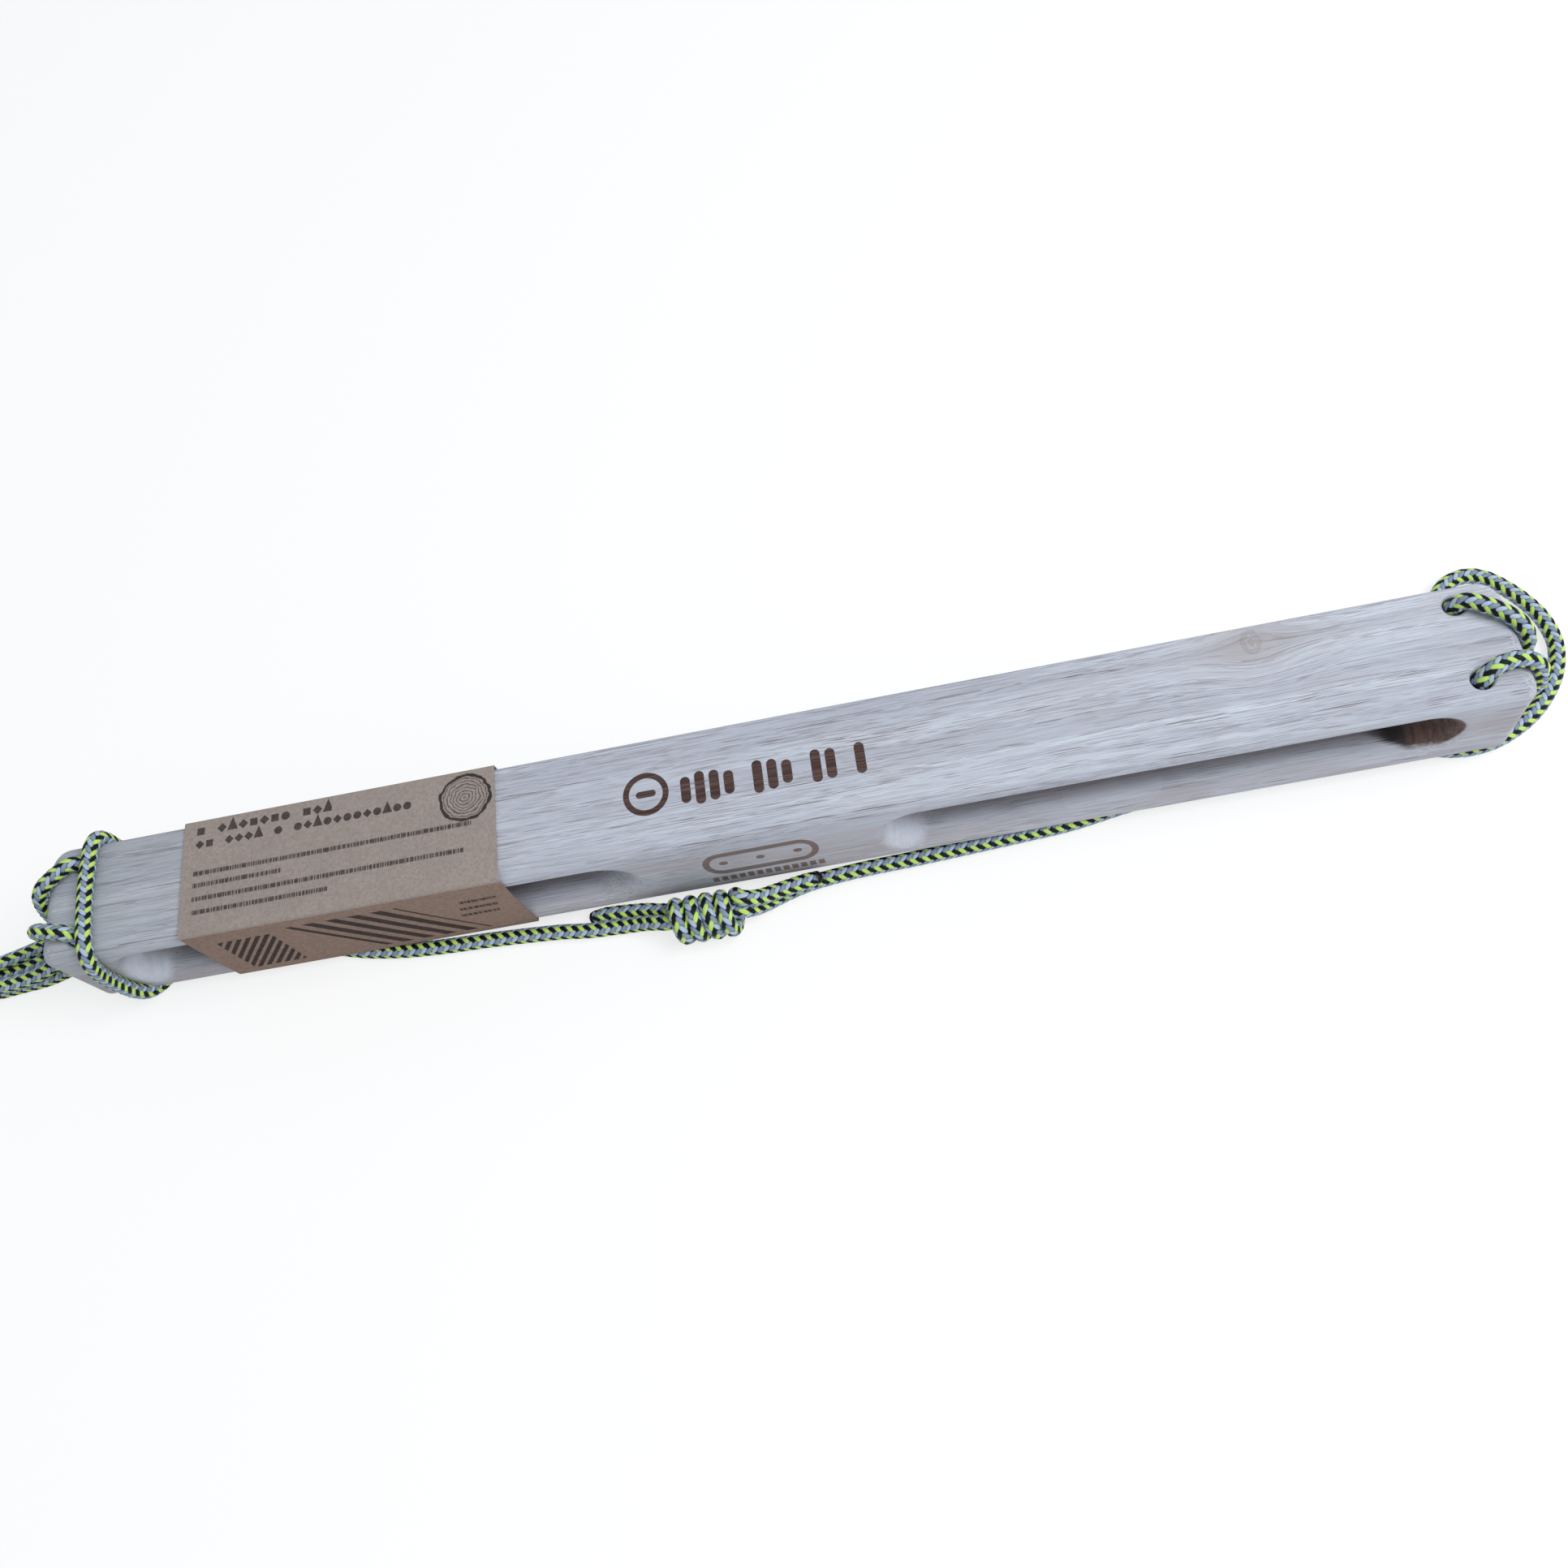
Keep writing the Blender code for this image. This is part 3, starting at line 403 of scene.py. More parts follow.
def modify(made, kind, **settings):
    """Adds a modifier and applies it."""
    modifier = made.modifiers.new(kind.lower(), kind)
    for key, value in settings.items():
        setattr(modifier, key, value)
    bpy.context.view_layer.objects.active = made
    bpy.ops.object.modifier_apply(modifier=modifier.name)


def open_tube(name, low, high):
    """A block without the two faces that look along x, left in edit mode."""
    made = add_block(name, low, high)
    bpy.ops.object.mode_set(mode="EDIT")
    pick("FACE", lambda corners: alike(corners, 0))
    bpy.ops.mesh.delete(type="ONLY_FACE")
    return made


# %% [markdown]
# ## The wooden bar
# The bar is a plain block whose rims were rounded with a router, most along the upper front, where the hand rests,
# and whose upright corners are much rounder at the back than at the front. One bevel does it all: a weight on each
# of the twelve edges gives it its own radius.

# %% The bar's block
WIDEST = 10.5
bar = add_block("bar_wood", (-248.9, -BAR_HALF, BAR_LOW), (251.0, BAR_HALF, BAR_HIGH))


def rim_radius(a, b):
    """The radius of the edge between two corners."""
    if abs(a.z - b.z) > 1.0:
        return WIDEST if a.y > 0 else 3.5
    high = a.z > BAR_MIDDLE
    if abs(a.x - b.x) > 1.0:
        return (5.8 if a.y < 0 else 2.3) if high else 1.6
    return 5.5 if high else 3.0


weights = bar.data.attributes.new("bevel_weight_edge", "FLOAT", "EDGE")
for edge in bar.data.edges:
    radius = rim_radius(*(bar.data.vertices[i].co / MM for i in edge.vertices))
    weights.data[edge.index].value = radius / WIDEST
modify(bar, "BEVEL", limit_method="WEIGHT", width=WIDEST * MM, segments=10, use_clamp_overlap=False)
print("bar", len(bar.data.polygons), "faces")

# %% [markdown]
# ## The pockets and the holes
# Each pocket is a slot milled with a round-nosed bit. Its mouth is softened, most of all along the edge that fingers
# pull on, its ends sweep up to the face, and its floor meets the walls in a small fillet. Each hole is drilled
# through, and its rims are rounded so that they don't wear the cord. A cutter for such a shape is a flat outline
# that is pushed in and resized step by step. The pockets' middles, half lengths, undersides and tops are given at
# their narrowest, and the lips are the radii of the mouth's edges.

# %% Cutters
POCKET_X, POCKET_HALF = 136.75, 92.75
POCKET_LOW, POCKET_HIGH = 16.0, 38.5
LIP_LOW, LIP_HIGH, LIP_END = 6.8, 2.2, 4.5
OUTSIDE = 5.0


def push(steps):
    """Extrudes the selected face by each move, and then resizes it about the middle of its outline."""
    for move, grow, middle in steps:
        bpy.ops.mesh.extrude_region_move(TRANSFORM_OT_translate={"value": Vector(move) * MM})
        bpy.ops.transform.resize(value=grow, center_override=Vector(middle) * MM)


def close_cutter():
    """Turns the faces outward and leaves edit mode."""
    bpy.ops.mesh.select_all(action="SELECT")
    bpy.ops.mesh.normals_make_consistent()
    bpy.ops.object.mode_set(mode="OBJECT")


def circle_gap(radius, inward):
    """How far a rounded rim of that radius stands back from its wall at that depth, and 0 below it."""
    return radius - math.sqrt(max(0.0, radius ** 2 - max(0.0, radius - inward) ** 2))


def pocket_cutter(side_x, side_y, depth, sweep=12.0, fillet=1.5):
    """The pocket's own space, from outside the face to its floor."""
    middle_x, face = side_x * POCKET_X, side_y * BAR_HALF

    def outline(inward):
        """Half the length, half the height and the middle height at that depth."""
        swept = sweep * (1 - math.sqrt(max(0.0, 1 - min(1.0, inward / sweep) ** 2)))
        thinner = circle_gap(fillet, depth - inward)
        high = POCKET_HIGH + circle_gap(LIP_HIGH, inward) - thinner
        low = POCKET_LOW - circle_gap(LIP_LOW, inward) + thinner
        half_x = POCKET_HALF + circle_gap(LIP_END, inward) - swept - thinner
        return half_x, (high - low) / 2, (high + low) / 2

    depths = [LIP_LOW * (1 - math.cos(math.radians(10 * i))) for i in range(10)]
    depths += [sweep * math.sin(math.radians(9 * i)) for i in range(5, 11)]
    depths += [depth - fillet * (1 - math.sin(math.radians(15 * i))) for i in range(7)]
    half_x, half_z, middle_z = outline(0.0)
    cutter = add_block("pocket_cutter", (middle_x - half_x, face - OUTSIDE, middle_z - half_z),
                       (middle_x + half_x, face + OUTSIDE, middle_z + half_z))
    bpy.ops.object.mode_set(mode="EDIT")
    pick("VERT", lambda corners: corners[0].y * side_y < BAR_HALF)
    bpy.ops.transform.translate(value=(0, side_y * OUTSIDE * MM, 0))
    pick("EDGE", lambda corners: alike(corners, 0) and alike(corners, 2))
    bpy.ops.mesh.bevel(offset=(half_z - 0.01) * MM, segments=18, affect="EDGES")
    pick("FACE", lambda corners: alike(corners, 1) and corners[0].y * side_y < BAR_HALF + 0.25)
    steps, before, size = [], 0.0, (half_x, half_z, middle_z)
    for inward in depths[1:]:
        new = outline(inward)
        steps.append(((0, -side_y * (inward - before), new[2] - size[2]), (new[0] / size[0], 1.0, new[1] / size[1]),
                      (middle_x, face - side_y * inward, new[2])))
        before, size = inward, new
    push(steps)
    close_cutter()
    return cutter


def hole_cutter(x, y, radius=3.35, rim=1.5, below=4.0, above=50.0):
    """A drilled hole through the whole height, with both rims rounded."""
    angles = [math.radians(15 * i) for i in range(7)]
    low = [(BAR_LOW + rim * (1 - math.cos(a)), radius + rim * (1 - math.sin(a))) for a in angles]
    rings = low + [(BAR_LOW + BAR_HIGH - z, r) for z, r in reversed(low)] + [(above, radius + rim)]
    bpy.ops.mesh.primitive_circle_add(vertices=40, radius=(radius + rim) * MM, fill_type="NGON",
                                      location=(x * MM, y * MM, below * MM))
    bpy.ops.object.transform_apply()
    cutter = bpy.context.object
    bpy.ops.object.mode_set(mode="EDIT")
    bpy.ops.mesh.select_all(action="SELECT")
    steps, before, size = [], below, radius + rim
    for z, r in rings:
        steps.append(((0, 0, z - before), (r / size, r / size, 1.0), (x, y, z)))
        before, size = z, r
    push(steps)
    close_cutter()
    return cutter


# %% Cutting the bar
cutters = [pocket_cutter(side_x, -1, 20.0) for side_x in (1, -1)]
cutters += [pocket_cutter(side_x, 1, 14.0) for side_x in (1, -1)]
cutters += [hole_cutter(x, y) for x in (HOLE_X, -HOLE_X) for y in (HOLE_Y, -HOLE_Y)]
for cutter in cutters:
    modify(bar, "BOOLEAN", operation="DIFFERENCE", solver="EXACT", object=cutter)
    bpy.data.objects.remove(cutter, do_unlink=True)
bpy.ops.object.select_all(action="DESELECT")
bar.select_set(True)
bpy.ops.object.mode_set(mode="EDIT")
bpy.ops.mesh.select_all(action="SELECT")
bpy.ops.mesh.remove_doubles(threshold=0.002 * MM)
bpy.ops.object.mode_set(mode="OBJECT")
bpy.ops.object.shade_smooth_by_angle(angle=math.radians(35))
modify(bar, "WEIGHTED_NORMAL", keep_sharp=True)
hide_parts("wood_bar")
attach(bar, "board")

# %% [markdown]
# ## The card sleeve
# The sleeve is one strip of brown card, folded at four corners and glued to itself at the back. A tube of four thin
# panels gets its fold radius from a bevel. The panels of a real sleeve are never quite flat, so each bows a little
# between its folds, and Solidify gives the card its thickness.

# %% The sleeve
CARD_Y, CARD_Z = 21.3, 20.8
sleeve = open_tube("sleeve_card", (-196.3, -CARD_Y, BAR_MIDDLE - CARD_Z), (-83.6, CARD_Y, BAR_MIDDLE + CARD_Z))
bpy.ops.mesh.select_all(action="SELECT")
bpy.ops.mesh.subdivide(number_cuts=13)
pick("EDGE", lambda corners: alike(corners, 1) and alike(corners, 2) and abs(corners[0].y) > CARD_Y - 0.1
     and abs(corners[0].z - BAR_MIDDLE) > CARD_Z - 0.1)
bpy.ops.mesh.bevel(offset=0.75 * MM, segments=4, affect="EDGES")
bpy.ops.object.mode_set(mode="OBJECT")
for vert in sleeve.data.vertices:
    x, y, z = vert.co / MM
    up = z - BAR_MIDDLE
    along = 0.6 + 0.4 * math.sin(x * 0.055 + 1.0)
    if up > CARD_Z - 0.15:
        vert.co.z += 0.35 * MM * along * (1 - (y / CARD_Y) ** 2)
    elif abs(y) > CARD_Y - 0.1 and abs(up) < CARD_Z - 0.8:
        vert.co.y += math.copysign(0.3 * MM * along * (1 - (up / CARD_Z) ** 2), y)
modify(sleeve, "SOLIDIFY", thickness=0.5 * MM, offset=0.0, material_offset_rim=1)
bpy.ops.object.shade_smooth_by_angle(angle=math.radians(30))
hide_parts("card_sleeve")
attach(sleeve, "sleeve")
print("sleeve", len(sleeve.data.polygons), "faces")

# %% [markdown]
# ## The tie
# A woven band holds the folded spare cord. It is a short tube round the four strands, with rounded corners and soft
# edges, and its loose end lies over it.

# %% The tie
tie = open_tube("tie_band", (-316.5, -13.85, 1.15), (-309.5, -0.55, 14.45))
pick("EDGE", lambda corners: alike(corners, 1) and alike(corners, 2))
bpy.ops.mesh.bevel(offset=4.0 * MM, segments=8, affect="EDGES")
bpy.ops.object.mode_set(mode="OBJECT")
modify(tie, "SOLIDIFY", thickness=1.1 * MM, offset=0.0)
modify(tie, "BEVEL", width=0.35 * MM, segments=3, limit_method="ANGLE", angle_limit=math.radians(50))
strap_end = add_block("strap_end", (-316.1, -12.0, 15.0), (-309.9, -1.6, 15.9))
modify(strap_end, "BEVEL", width=0.42 * MM, segments=3)
tie.select_set(True)
bpy.context.view_layer.objects.active = tie
bpy.ops.object.join()
bpy.ops.object.shade_smooth_by_angle(angle=math.radians(40))
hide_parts("hank_tie")
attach(tie, "board")
print("tie", len(tie.data.polygons), "faces")

# %% [markdown]
# ## Writing materials as formulas
# Every pattern here is computed from a piece's own coordinates. A small helper turns each step of a formula into a
# node, so a material reads from top to bottom like the sum that it is. Colours are written as they look, from 0 to
# 255, and are turned into the linear values that a shader wants.

# %% A helper for materials
def paint(red, green, blue):
    """A colour as seen on a screen, from 0 to 255, in linear light."""
    return tuple(((c / 255 + 0.055) / 1.055) ** 2.4 for c in (red, green, blue)) + (1.0,)


class Graph:
    """A material whose nodes are added by formulas. Each step returns its result."""

    def __init__(self, name):
        self.material = bpy.data.materials.new(name)
        self.material.use_nodes = True
        self.tree = self.material.node_tree
        self.shader = self.tree.nodes["Principled BSDF"]
        self.base = None

    def put(self, value, socket):
        if isinstance(value, bpy.types.NodeSocket):
            self.tree.links.new(value, socket)
        else:
            socket.default_value = value

    def node(self, kind, sockets, **settings):
        made = self.tree.nodes.new("ShaderNode" + kind)
        for key, value in settings.items():
            setattr(made, key, value)
        for key, value in sockets.items():
            self.put(value, made.inputs[key])
        return made

    def math(self, operation, *values):
        return self.node("Math", dict(enumerate(values)), operation=operation).outputs[0]

    # The operations that the formulas use most.
    times = partialmethod(math, "MULTIPLY")
    times_plus = partialmethod(math, "MULTIPLY_ADD")
    over = partialmethod(math, "DIVIDE")
    plus = partialmethod(math, "ADD")
    minus = partialmethod(math, "SUBTRACT")
    larger = partialmethod(math, "MAXIMUM")
    size = partialmethod(math, "ABSOLUTE")
    fraction = partialmethod(math, "FRACT")
    sine = partialmethod(math, "SINE")

    def split(self, value):
        return self.node("SeparateXYZ", {0: value}).outputs[:3]

    def join(self, x, y, z):
        return self.node("CombineXYZ", {0: x, 1: y, 2: z}).outputs[0]

    def vector(self, operation, *values):
        made = self.node("VectorMath", dict(enumerate(values)), operation=operation)
        return made.outputs["Value" if operation == "LENGTH" else "Vector"]

    def scaled(self, place, *factors):
        return self.vector("MULTIPLY", place, factors)

    def distance(self, across, up):
        return self.vector("LENGTH", self.join(across, up, 0.0))

    def away(self, value, middle):
        return self.size(self.minus(value, middle))

    def beyond(self, value, limit):
        """How far the value is past the limit, and 0 before it."""
        return self.larger(self.minus(value, limit), 0.0)

    def rise(self, value, low, high, bottom=0.0, top=1.0):
        """bottom at low and top at high, with a soft step between them. low may be the larger one."""
        sockets = {0: value, 1: low, 2: high, 3: bottom, 4: top}
        return self.node("MapRange", sockets, interpolation_type="SMOOTHSTEP").outputs[0]

    def within(self, value, low, high, soft):
        """1 between low and high and 0 outside them, with soft steps just inside both."""
        return self.both(self.rise(value, low, low + soft), self.rise(value, high, high - soft))

    def bell(self, value, middle, width):
        """1 at the middle, falling off on both sides as a bell curve does."""
        away = self.over(self.minus(value, middle), width)
        return self.math("EXPONENT", self.times(self.times(away, away), -1.0))

    def noise(self, place, scale, detail=2.0, roughness=0.5):
        sockets = {"Vector": place, "Scale": scale, "Detail": detail, "Roughness": roughness}
        return self.node("TexNoise", sockets).outputs[0]

    def streaks(self, place, along, across, detail=2.0, roughness=0.5):
        """Noise that is drawn out along x."""
        return self.noise(self.scaled(place, along, across, across), 1.0, detail, roughness)

    def both(self, *masks):
        return reduce(self.times, masks)

    def either(self, *masks):
        return reduce(self.larger, masks)

    def choose(self, test, yes, no):
        """yes where the test is 1 and no where it is 0."""
        return self.plus(self.times(test, yes), self.times(self.minus(1.0, test), no))

    def mix(self, share, low, high, blend="MIX"):
        """Two colours mixed. A colour given by three numbers is one as seen on a screen."""
        low, high = (paint(*colour) if isinstance(colour, tuple) else colour for colour in (low, high))
        return self.node("Mix", {0: share, 6: low, 7: high}, data_type="RGBA", blend_type=blend).outputs[2]

    def tones(self, value, dark, light, low=0.3, high=0.7):
        """A colour that goes from dark to light while the value rises from low to high."""
        return self.mix(self.rise(value, low, high), dark, light)

    def stain(self, mask, colour, share=1.0):
        """Lays that share of a colour over the base colour so far, where the mask is 1."""
        self.base = self.mix(self.times(mask, share), self.base, colour)

    def millimetres(self):
        return self.scaled(self.node("TexCoord", {}).outputs["Object"], 1 / MM, 1 / MM, 1 / MM)

    def bump(self, height, distance, strength):
        made = self.node("Bump", {"Height": height, "Distance": distance * MM, "Strength": strength})
        self.tree.links.new(made.outputs[0], self.shader.inputs["Normal"])

    def finish(self, roughness, specular):
        self.put(self.base, self.shader.inputs["Base Color"])
        self.put(roughness, self.shader.inputs["Roughness"])
        self.shader.inputs["Specular IOR Level"].default_value = specular
        return self.material


print("white is", paint(255, 255, 255)[:3])

# %% [markdown]
# ## The cord's colours
# The material repeats the sum that raised the yarns, and asks of each point which yarn lies on top there. The gaps
# between yarns get painted shade, and each yarn shows its own fine filaments. Only the melted tips turn black and
# glossy.

# %% Cord material
g = Graph("braided_cord")
u, v, _ = g.split(g.node("UVMap", {}, uv_map="braid").outputs[0])
a = g.times_plus(u, 1 / CROSSING, g.times(v, YARNS))
b = g.times_plus(u, -1 / CROSSING, g.times(v, YARNS))
floor_a, floor_b = g.math("FLOOR", a), g.math("FLOOR", b)


def crown_nodes(part, top, fall, power):
    """The same height across a yarn as crown gives."""
    off = g.size(g.times_plus(g.fraction(part), 2, -1))
    return g.times_plus(g.math("POWER", off, power), -fall, top)


def dip_nodes(value):
    """How far a yarn is lifted as it passes over others, and sinks as it passes under them."""
    return g.times(g.sine(g.times(value, math.pi / 2)), DIP)


coloured = g.plus(dip_nodes(g.plus(a, floor_b)), crown_nodes(b, *COLOURED))
grey = g.minus(crown_nodes(a, *GREY), dip_nodes(g.plus(floor_a, b)))
on_top = g.math("GREATER_THAN", coloured, grey)
height = g.larger(coloured, grey)
is_lime, is_pale = (g.math("LESS_THAN", g.math("FLOORED_MODULO", count, 2), 0.5) for count in (floor_b, floor_a))
cloudy = g.noise(g.join(g.times(u, 0.35), g.times(v, 14), 0), 1, 3)
lime = g.mix(cloudy, (188, 228, 90), (222, 252, 142))
black = g.mix(cloudy, (4, 8, 11), (16, 22, 27))
pale = g.mix(cloudy, (168, 188, 214), (206, 222, 244))
slate = g.mix(cloudy, (128, 145, 165), (158, 174, 194))
g.base = g.mix(on_top, g.mix(is_pale, slate, pale), g.mix(is_lime, black, lime))
filaments = g.sine(g.times(g.choose(on_top, b, a), 2 * math.pi * 5))
filaments = g.times_plus(filaments, 0.5, 0.5)
# Painted shade: the low gaps between yarns are darkened, with the filaments' fine lines laid over it.
shade = g.times(g.rise(height, 0.3, 1.05, 0.28, 1), g.times_plus(filaments, 0.2, 0.82))
g.base = g.mix(1, g.base, g.join(shade, shade, shade), "MULTIPLY")
melted = g.rise(g.node("Attribute", {}, attribute_name="melt").outputs["Fac"], 0.25, 0.6)
g.stain(melted, (16, 17, 18))
g.bump(g.times(filaments, g.minus(1, melted)), 0.06, 0.6)
cord_material = g.finish(g.times_plus(melted, -0.15, 0.5), 0.22)
for piece in cord_pieces:
    piece.data.materials.append(cord_material)
print(len(g.tree.nodes), "nodes on", len(cord_pieces), "pieces of cord")

# %% [markdown]
# ## The wood
# The timber is pale, with long soft bands and many short dark pores that run along the bar. Near the right end the
# grain swings round the small eye of a branch, so every pattern reads coordinates that have been bent there first.
# The ends of the milled pockets cut across the fibres and look pale and fuzzy, and one of them was scorched by the
# cutter. Painted shade is added inside the pockets, in the deepest part of the scorch and at the bar's left end, and
# warm streaks on the lower front are partly painted bounce light.

# %% Wood: bent grain
EYE_X, EYE_Y = 170.7, 14
g = Graph("pale_timber")
place = g.millimetres()
x, y, z = g.split(place)
near = g.both(g.bell(x, EYE_X, 15), g.bell(y, EYE_Y - 1, 11))
off_y = g.minus(y, EYE_Y - 1)
wander = g.minus(g.streaks(place, 0.012, 0.05), 0.5)
bent_y = g.plus(g.times_plus(g.times(near, off_y), -0.8, y), g.times(wander, 2.6))
grain = g.join(x, bent_y, g.plus(z, g.times(wander, 2)))

fibres = g.streaks(grain, 0.03, 1.9, 4, 0.7)
g.base = g.tones(g.streaks(grain, 0.004, 0.16, 3, 0.55), (186, 190, 202), (212, 218, 228))
g.stain(g.rise(g.streaks(grain, 0.018, 0.05), 0.5, 0.75), (188, 182, 184), 0.32)
g.stain(g.rise(fibres, 0.42, 0.62), (158, 158, 168), 0.34)
crowd = g.rise(g.streaks(grain, 0.012, 0.3), 0.35, 0.65, 0.35, 1)


def pores(length, width, low, high, seed):
    """Short dark dashes along the grain, in crowds."""
    shifted = g.vector("ADD", grain, (seed, seed * 0.7, seed * 0.4))
    return g.both(g.rise(g.streaks(shifted, 1 / length, 1 / width, 1), low, high), crowd)


long_pores = pores(26, 0.4, 0.64, 0.68, 0)
short_pores = pores(10, 0.28, 0.62, 0.67, 40)
hair_pores = pores(18, 0.2, 0.58, 0.64, 90)
g.stain(hair_pores, (136, 131, 138), 0.5)
g.stain(short_pores, (126, 117, 118), 0.7)
g.stain(long_pores, (112, 97, 93), 0.85)
print(len(g.tree.nodes), "nodes for the grain")

# %% Wood: eye, scorch, end grain and painted shade
eye = g.distance(g.minus(x, EYE_X), g.times(g.minus(y, EYE_Y), 0.7))
eye = g.times_plus(g.noise(place, 0.8, 2), 1.4, g.minus(eye, 0.7))
above = g.rise(z, 46, 47)
shadow = g.both(g.bell(x, EYE_X - 2, 17), g.bell(y, EYE_Y - 1, 8), above)
g.stain(shadow, (168, 156, 152), 0.55)
swirl = g.noise(g.join(g.times(x, 0.4), g.times(y, 0.4), 3), 1, 2)
rings = g.sine(g.times_plus(swirl, 9, g.times(eye, 4.6)))
g.stain(g.both(g.rise(rings, 0.1, 0.8, 0, 0.3), g.rise(eye, 3, 1.9), above), (140, 126, 118))
rim = g.both(g.rise(eye, 2.3, 2.7), g.rise(eye, 3.5, 3), above)
g.stain(rim, (128, 114, 106), 0.25)

# Painted shade: the bar's left end is darkened, as if the light fell off towards it.
g.stain(g.rise(x, -140, -215), (146, 152, 153), 0.32)
# Warm streaks along the grain on the lower front: partly the wood's own tint, partly painted warm bounce light in
# the front's shade.
warm_streaks_and_bounce = g.rise(g.streaks(grain, 0.02, 0.12), 0.35, 0.65, 0.15, 0.6)
g.stain(g.both(warm_streaks_and_bounce, g.rise(y, -15, -20), g.rise(z, 40, 30)), (176, 164, 166))
front = g.rise(y, -10, -14)
cut = g.noise(place, 1.3, 3, 0.7)


def patch(middle_x, middle_z, half_x, half_z):
    """How far a point on the front is from the middle of a ragged patch, about 1 at its edge."""
    off = g.distance(g.over(g.minus(x, middle_x), half_x), g.over(g.minus(z, middle_z), half_z))
    return g.times_plus(cut, 0.4, off)


def from_line(along, across, middle, level, half):
    """The distance from a straight line that runs half that far to both sides of its middle."""
    return g.distance(g.beyond(g.away(along, middle), half), g.minus(across, level))


fan = g.math("ARCTAN2", g.minus(z, 38), g.minus(g.away(x, 87), 36.6))
frayed = g.noise(g.join(g.times(fan, 22), g.times(z, 0.2), x), 1, 3, 0.7)
for end_x in (50.4, -224):
    inside = g.both(g.rise(patch(end_x, 20.5, 8, 10.5), 1.35, 0.85), front)
    g.stain(inside, g.tones(frayed, (206, 211, 222), (220, 225, 236)), 0.8)
pale_tail = g.both(g.rise(patch(72, 19, 15, 6), 1.4, 0.6), front, g.rise(fibres, 0.42, 0.58))
g.stain(pale_tail, (214, 218, 228), 0.55)
joint = g.rise(from_line(x, z, 121, 17.5, 14), 3.4, 3, 0, 0.4)
g.stain(g.both(joint, front), (206, 208, 216))
# The left pocket's right end: a brown scorch mark, partly painted shade under the end of the upper lip.
scorch_and_shade_end = g.rise(patch(-50.5, 31, 7.5, 9), 1.3, 0.6, 0, 0.8)
g.stain(g.both(scorch_and_shade_end, front), (124, 104, 97))
brown_spot = g.rise(patch(1, 8, 5.5, 1.6), 1.3, 0.8, 0, 0.8)
g.stain(g.both(brown_spot, front), (128, 92, 72))

# Painted shade inside the pockets, darker further in under the upper lip.
painted_pocket_shade = g.both(g.rise(y, -18, -7), g.within(z, 13.5, 40.5, 1), g.rise(y, 0, -0.5),
                   g.rise(g.size(x), 226, 225))
g.stain(painted_pocket_shade, (128, 116, 116), 0.75)

burnt_end = g.distance(g.beyond(x, 218.4), g.minus(z, 27.5))
over_sill = g.times_plus(g.plus(y, 18), 1.2, g.minus(z, 16))
over_sill = g.times_plus(fibres, 6, g.minus(over_sill, g.times(g.beyond(217, x), 0.75)))
scorch = g.both(g.rise(g.times_plus(fibres, 8, x), 205, 217), g.rise(burnt_end, 14.4, 13.4),
                g.rise(over_sill, -0.5, 4), g.rise(z, 40.9, 40), g.rise(y, -20.72, -20.4), g.rise(y, 2, 0))
# The scorch is darkest further into the slot, partly burn and partly painted shade.
deep_scorch_shade = g.rise(g.times_plus(cut, 3, x), 222, 217)
brown = g.tones(frayed, (58, 41, 35), (108, 80, 66))
g.stain(scorch, g.mix(deep_scorch_shade, brown, (34, 25, 24)), 0.96)
print(len(g.tree.nodes), "nodes with the eye and the scorch")

# %% [markdown]
# ## Burnt marks
# Two marks are burnt into the wood: a dark row of finger shapes on top, which count down from four to one, and a
# lighter depth gauge on the front. Each is a set of plain shapes, measured by how far a point is from them.

# %% Wood: burnt marks
PITCH = 4.9
ROW_LEFT, ROW_RIGHT = -20.7, 43
RING_X, RING_Y = -31.8, 0.1
HEIGHTS = [0.31, 0.43, 0.38, 0.26, 0, 0.43, 0.38, 0.26, 0, 0.43, 0.38, 0, 0.4]
finger = g.over(g.minus(x, ROW_LEFT), PITCH)
number = g.plus(g.math("FLOOR", finger), 0.5)
step = g.node("ValToRGB", {0: g.over(number, len(HEIGHTS))})
step.color_ramp.interpolation = "CONSTANT"
stops = step.color_ramp.elements
stops[1].color = (0, 0, 0, 1)
for count, tall in enumerate(HEIGHTS):
    stop = stops.new(count / len(HEIGHTS)) if count else stops[0]
    stop.color = (tall, tall, tall, 1)
half_tall = g.times(step.outputs[0], 10)
in_slot = g.times(g.minus(g.fraction(finger), 0.5), PITCH)
pill = g.distance(in_slot, g.beyond(g.away(y, -1), half_tall))
pills = g.both(g.rise(pill, 1.75, 1.6), g.rise(half_tall, 1, 1.5), g.within(x, ROW_LEFT, ROW_RIGHT, 0.1))
ring = g.within(g.distance(g.minus(x, RING_X), g.minus(y, RING_Y)), 5.7, 7.9, 0.15)
dash = g.rise(from_line(x, y, RING_X, RING_Y, 2.2), 1.3, 1.15)
top_mark = g.both(g.either(pills, ring, dash), g.rise(z, 46.8, 47.2), g.times_plus(long_pores, -0.3, 1))
g.stain(top_mark, g.tones(fibres, (66, 46, 42), (98, 76, 70), 0.4, 0.65))

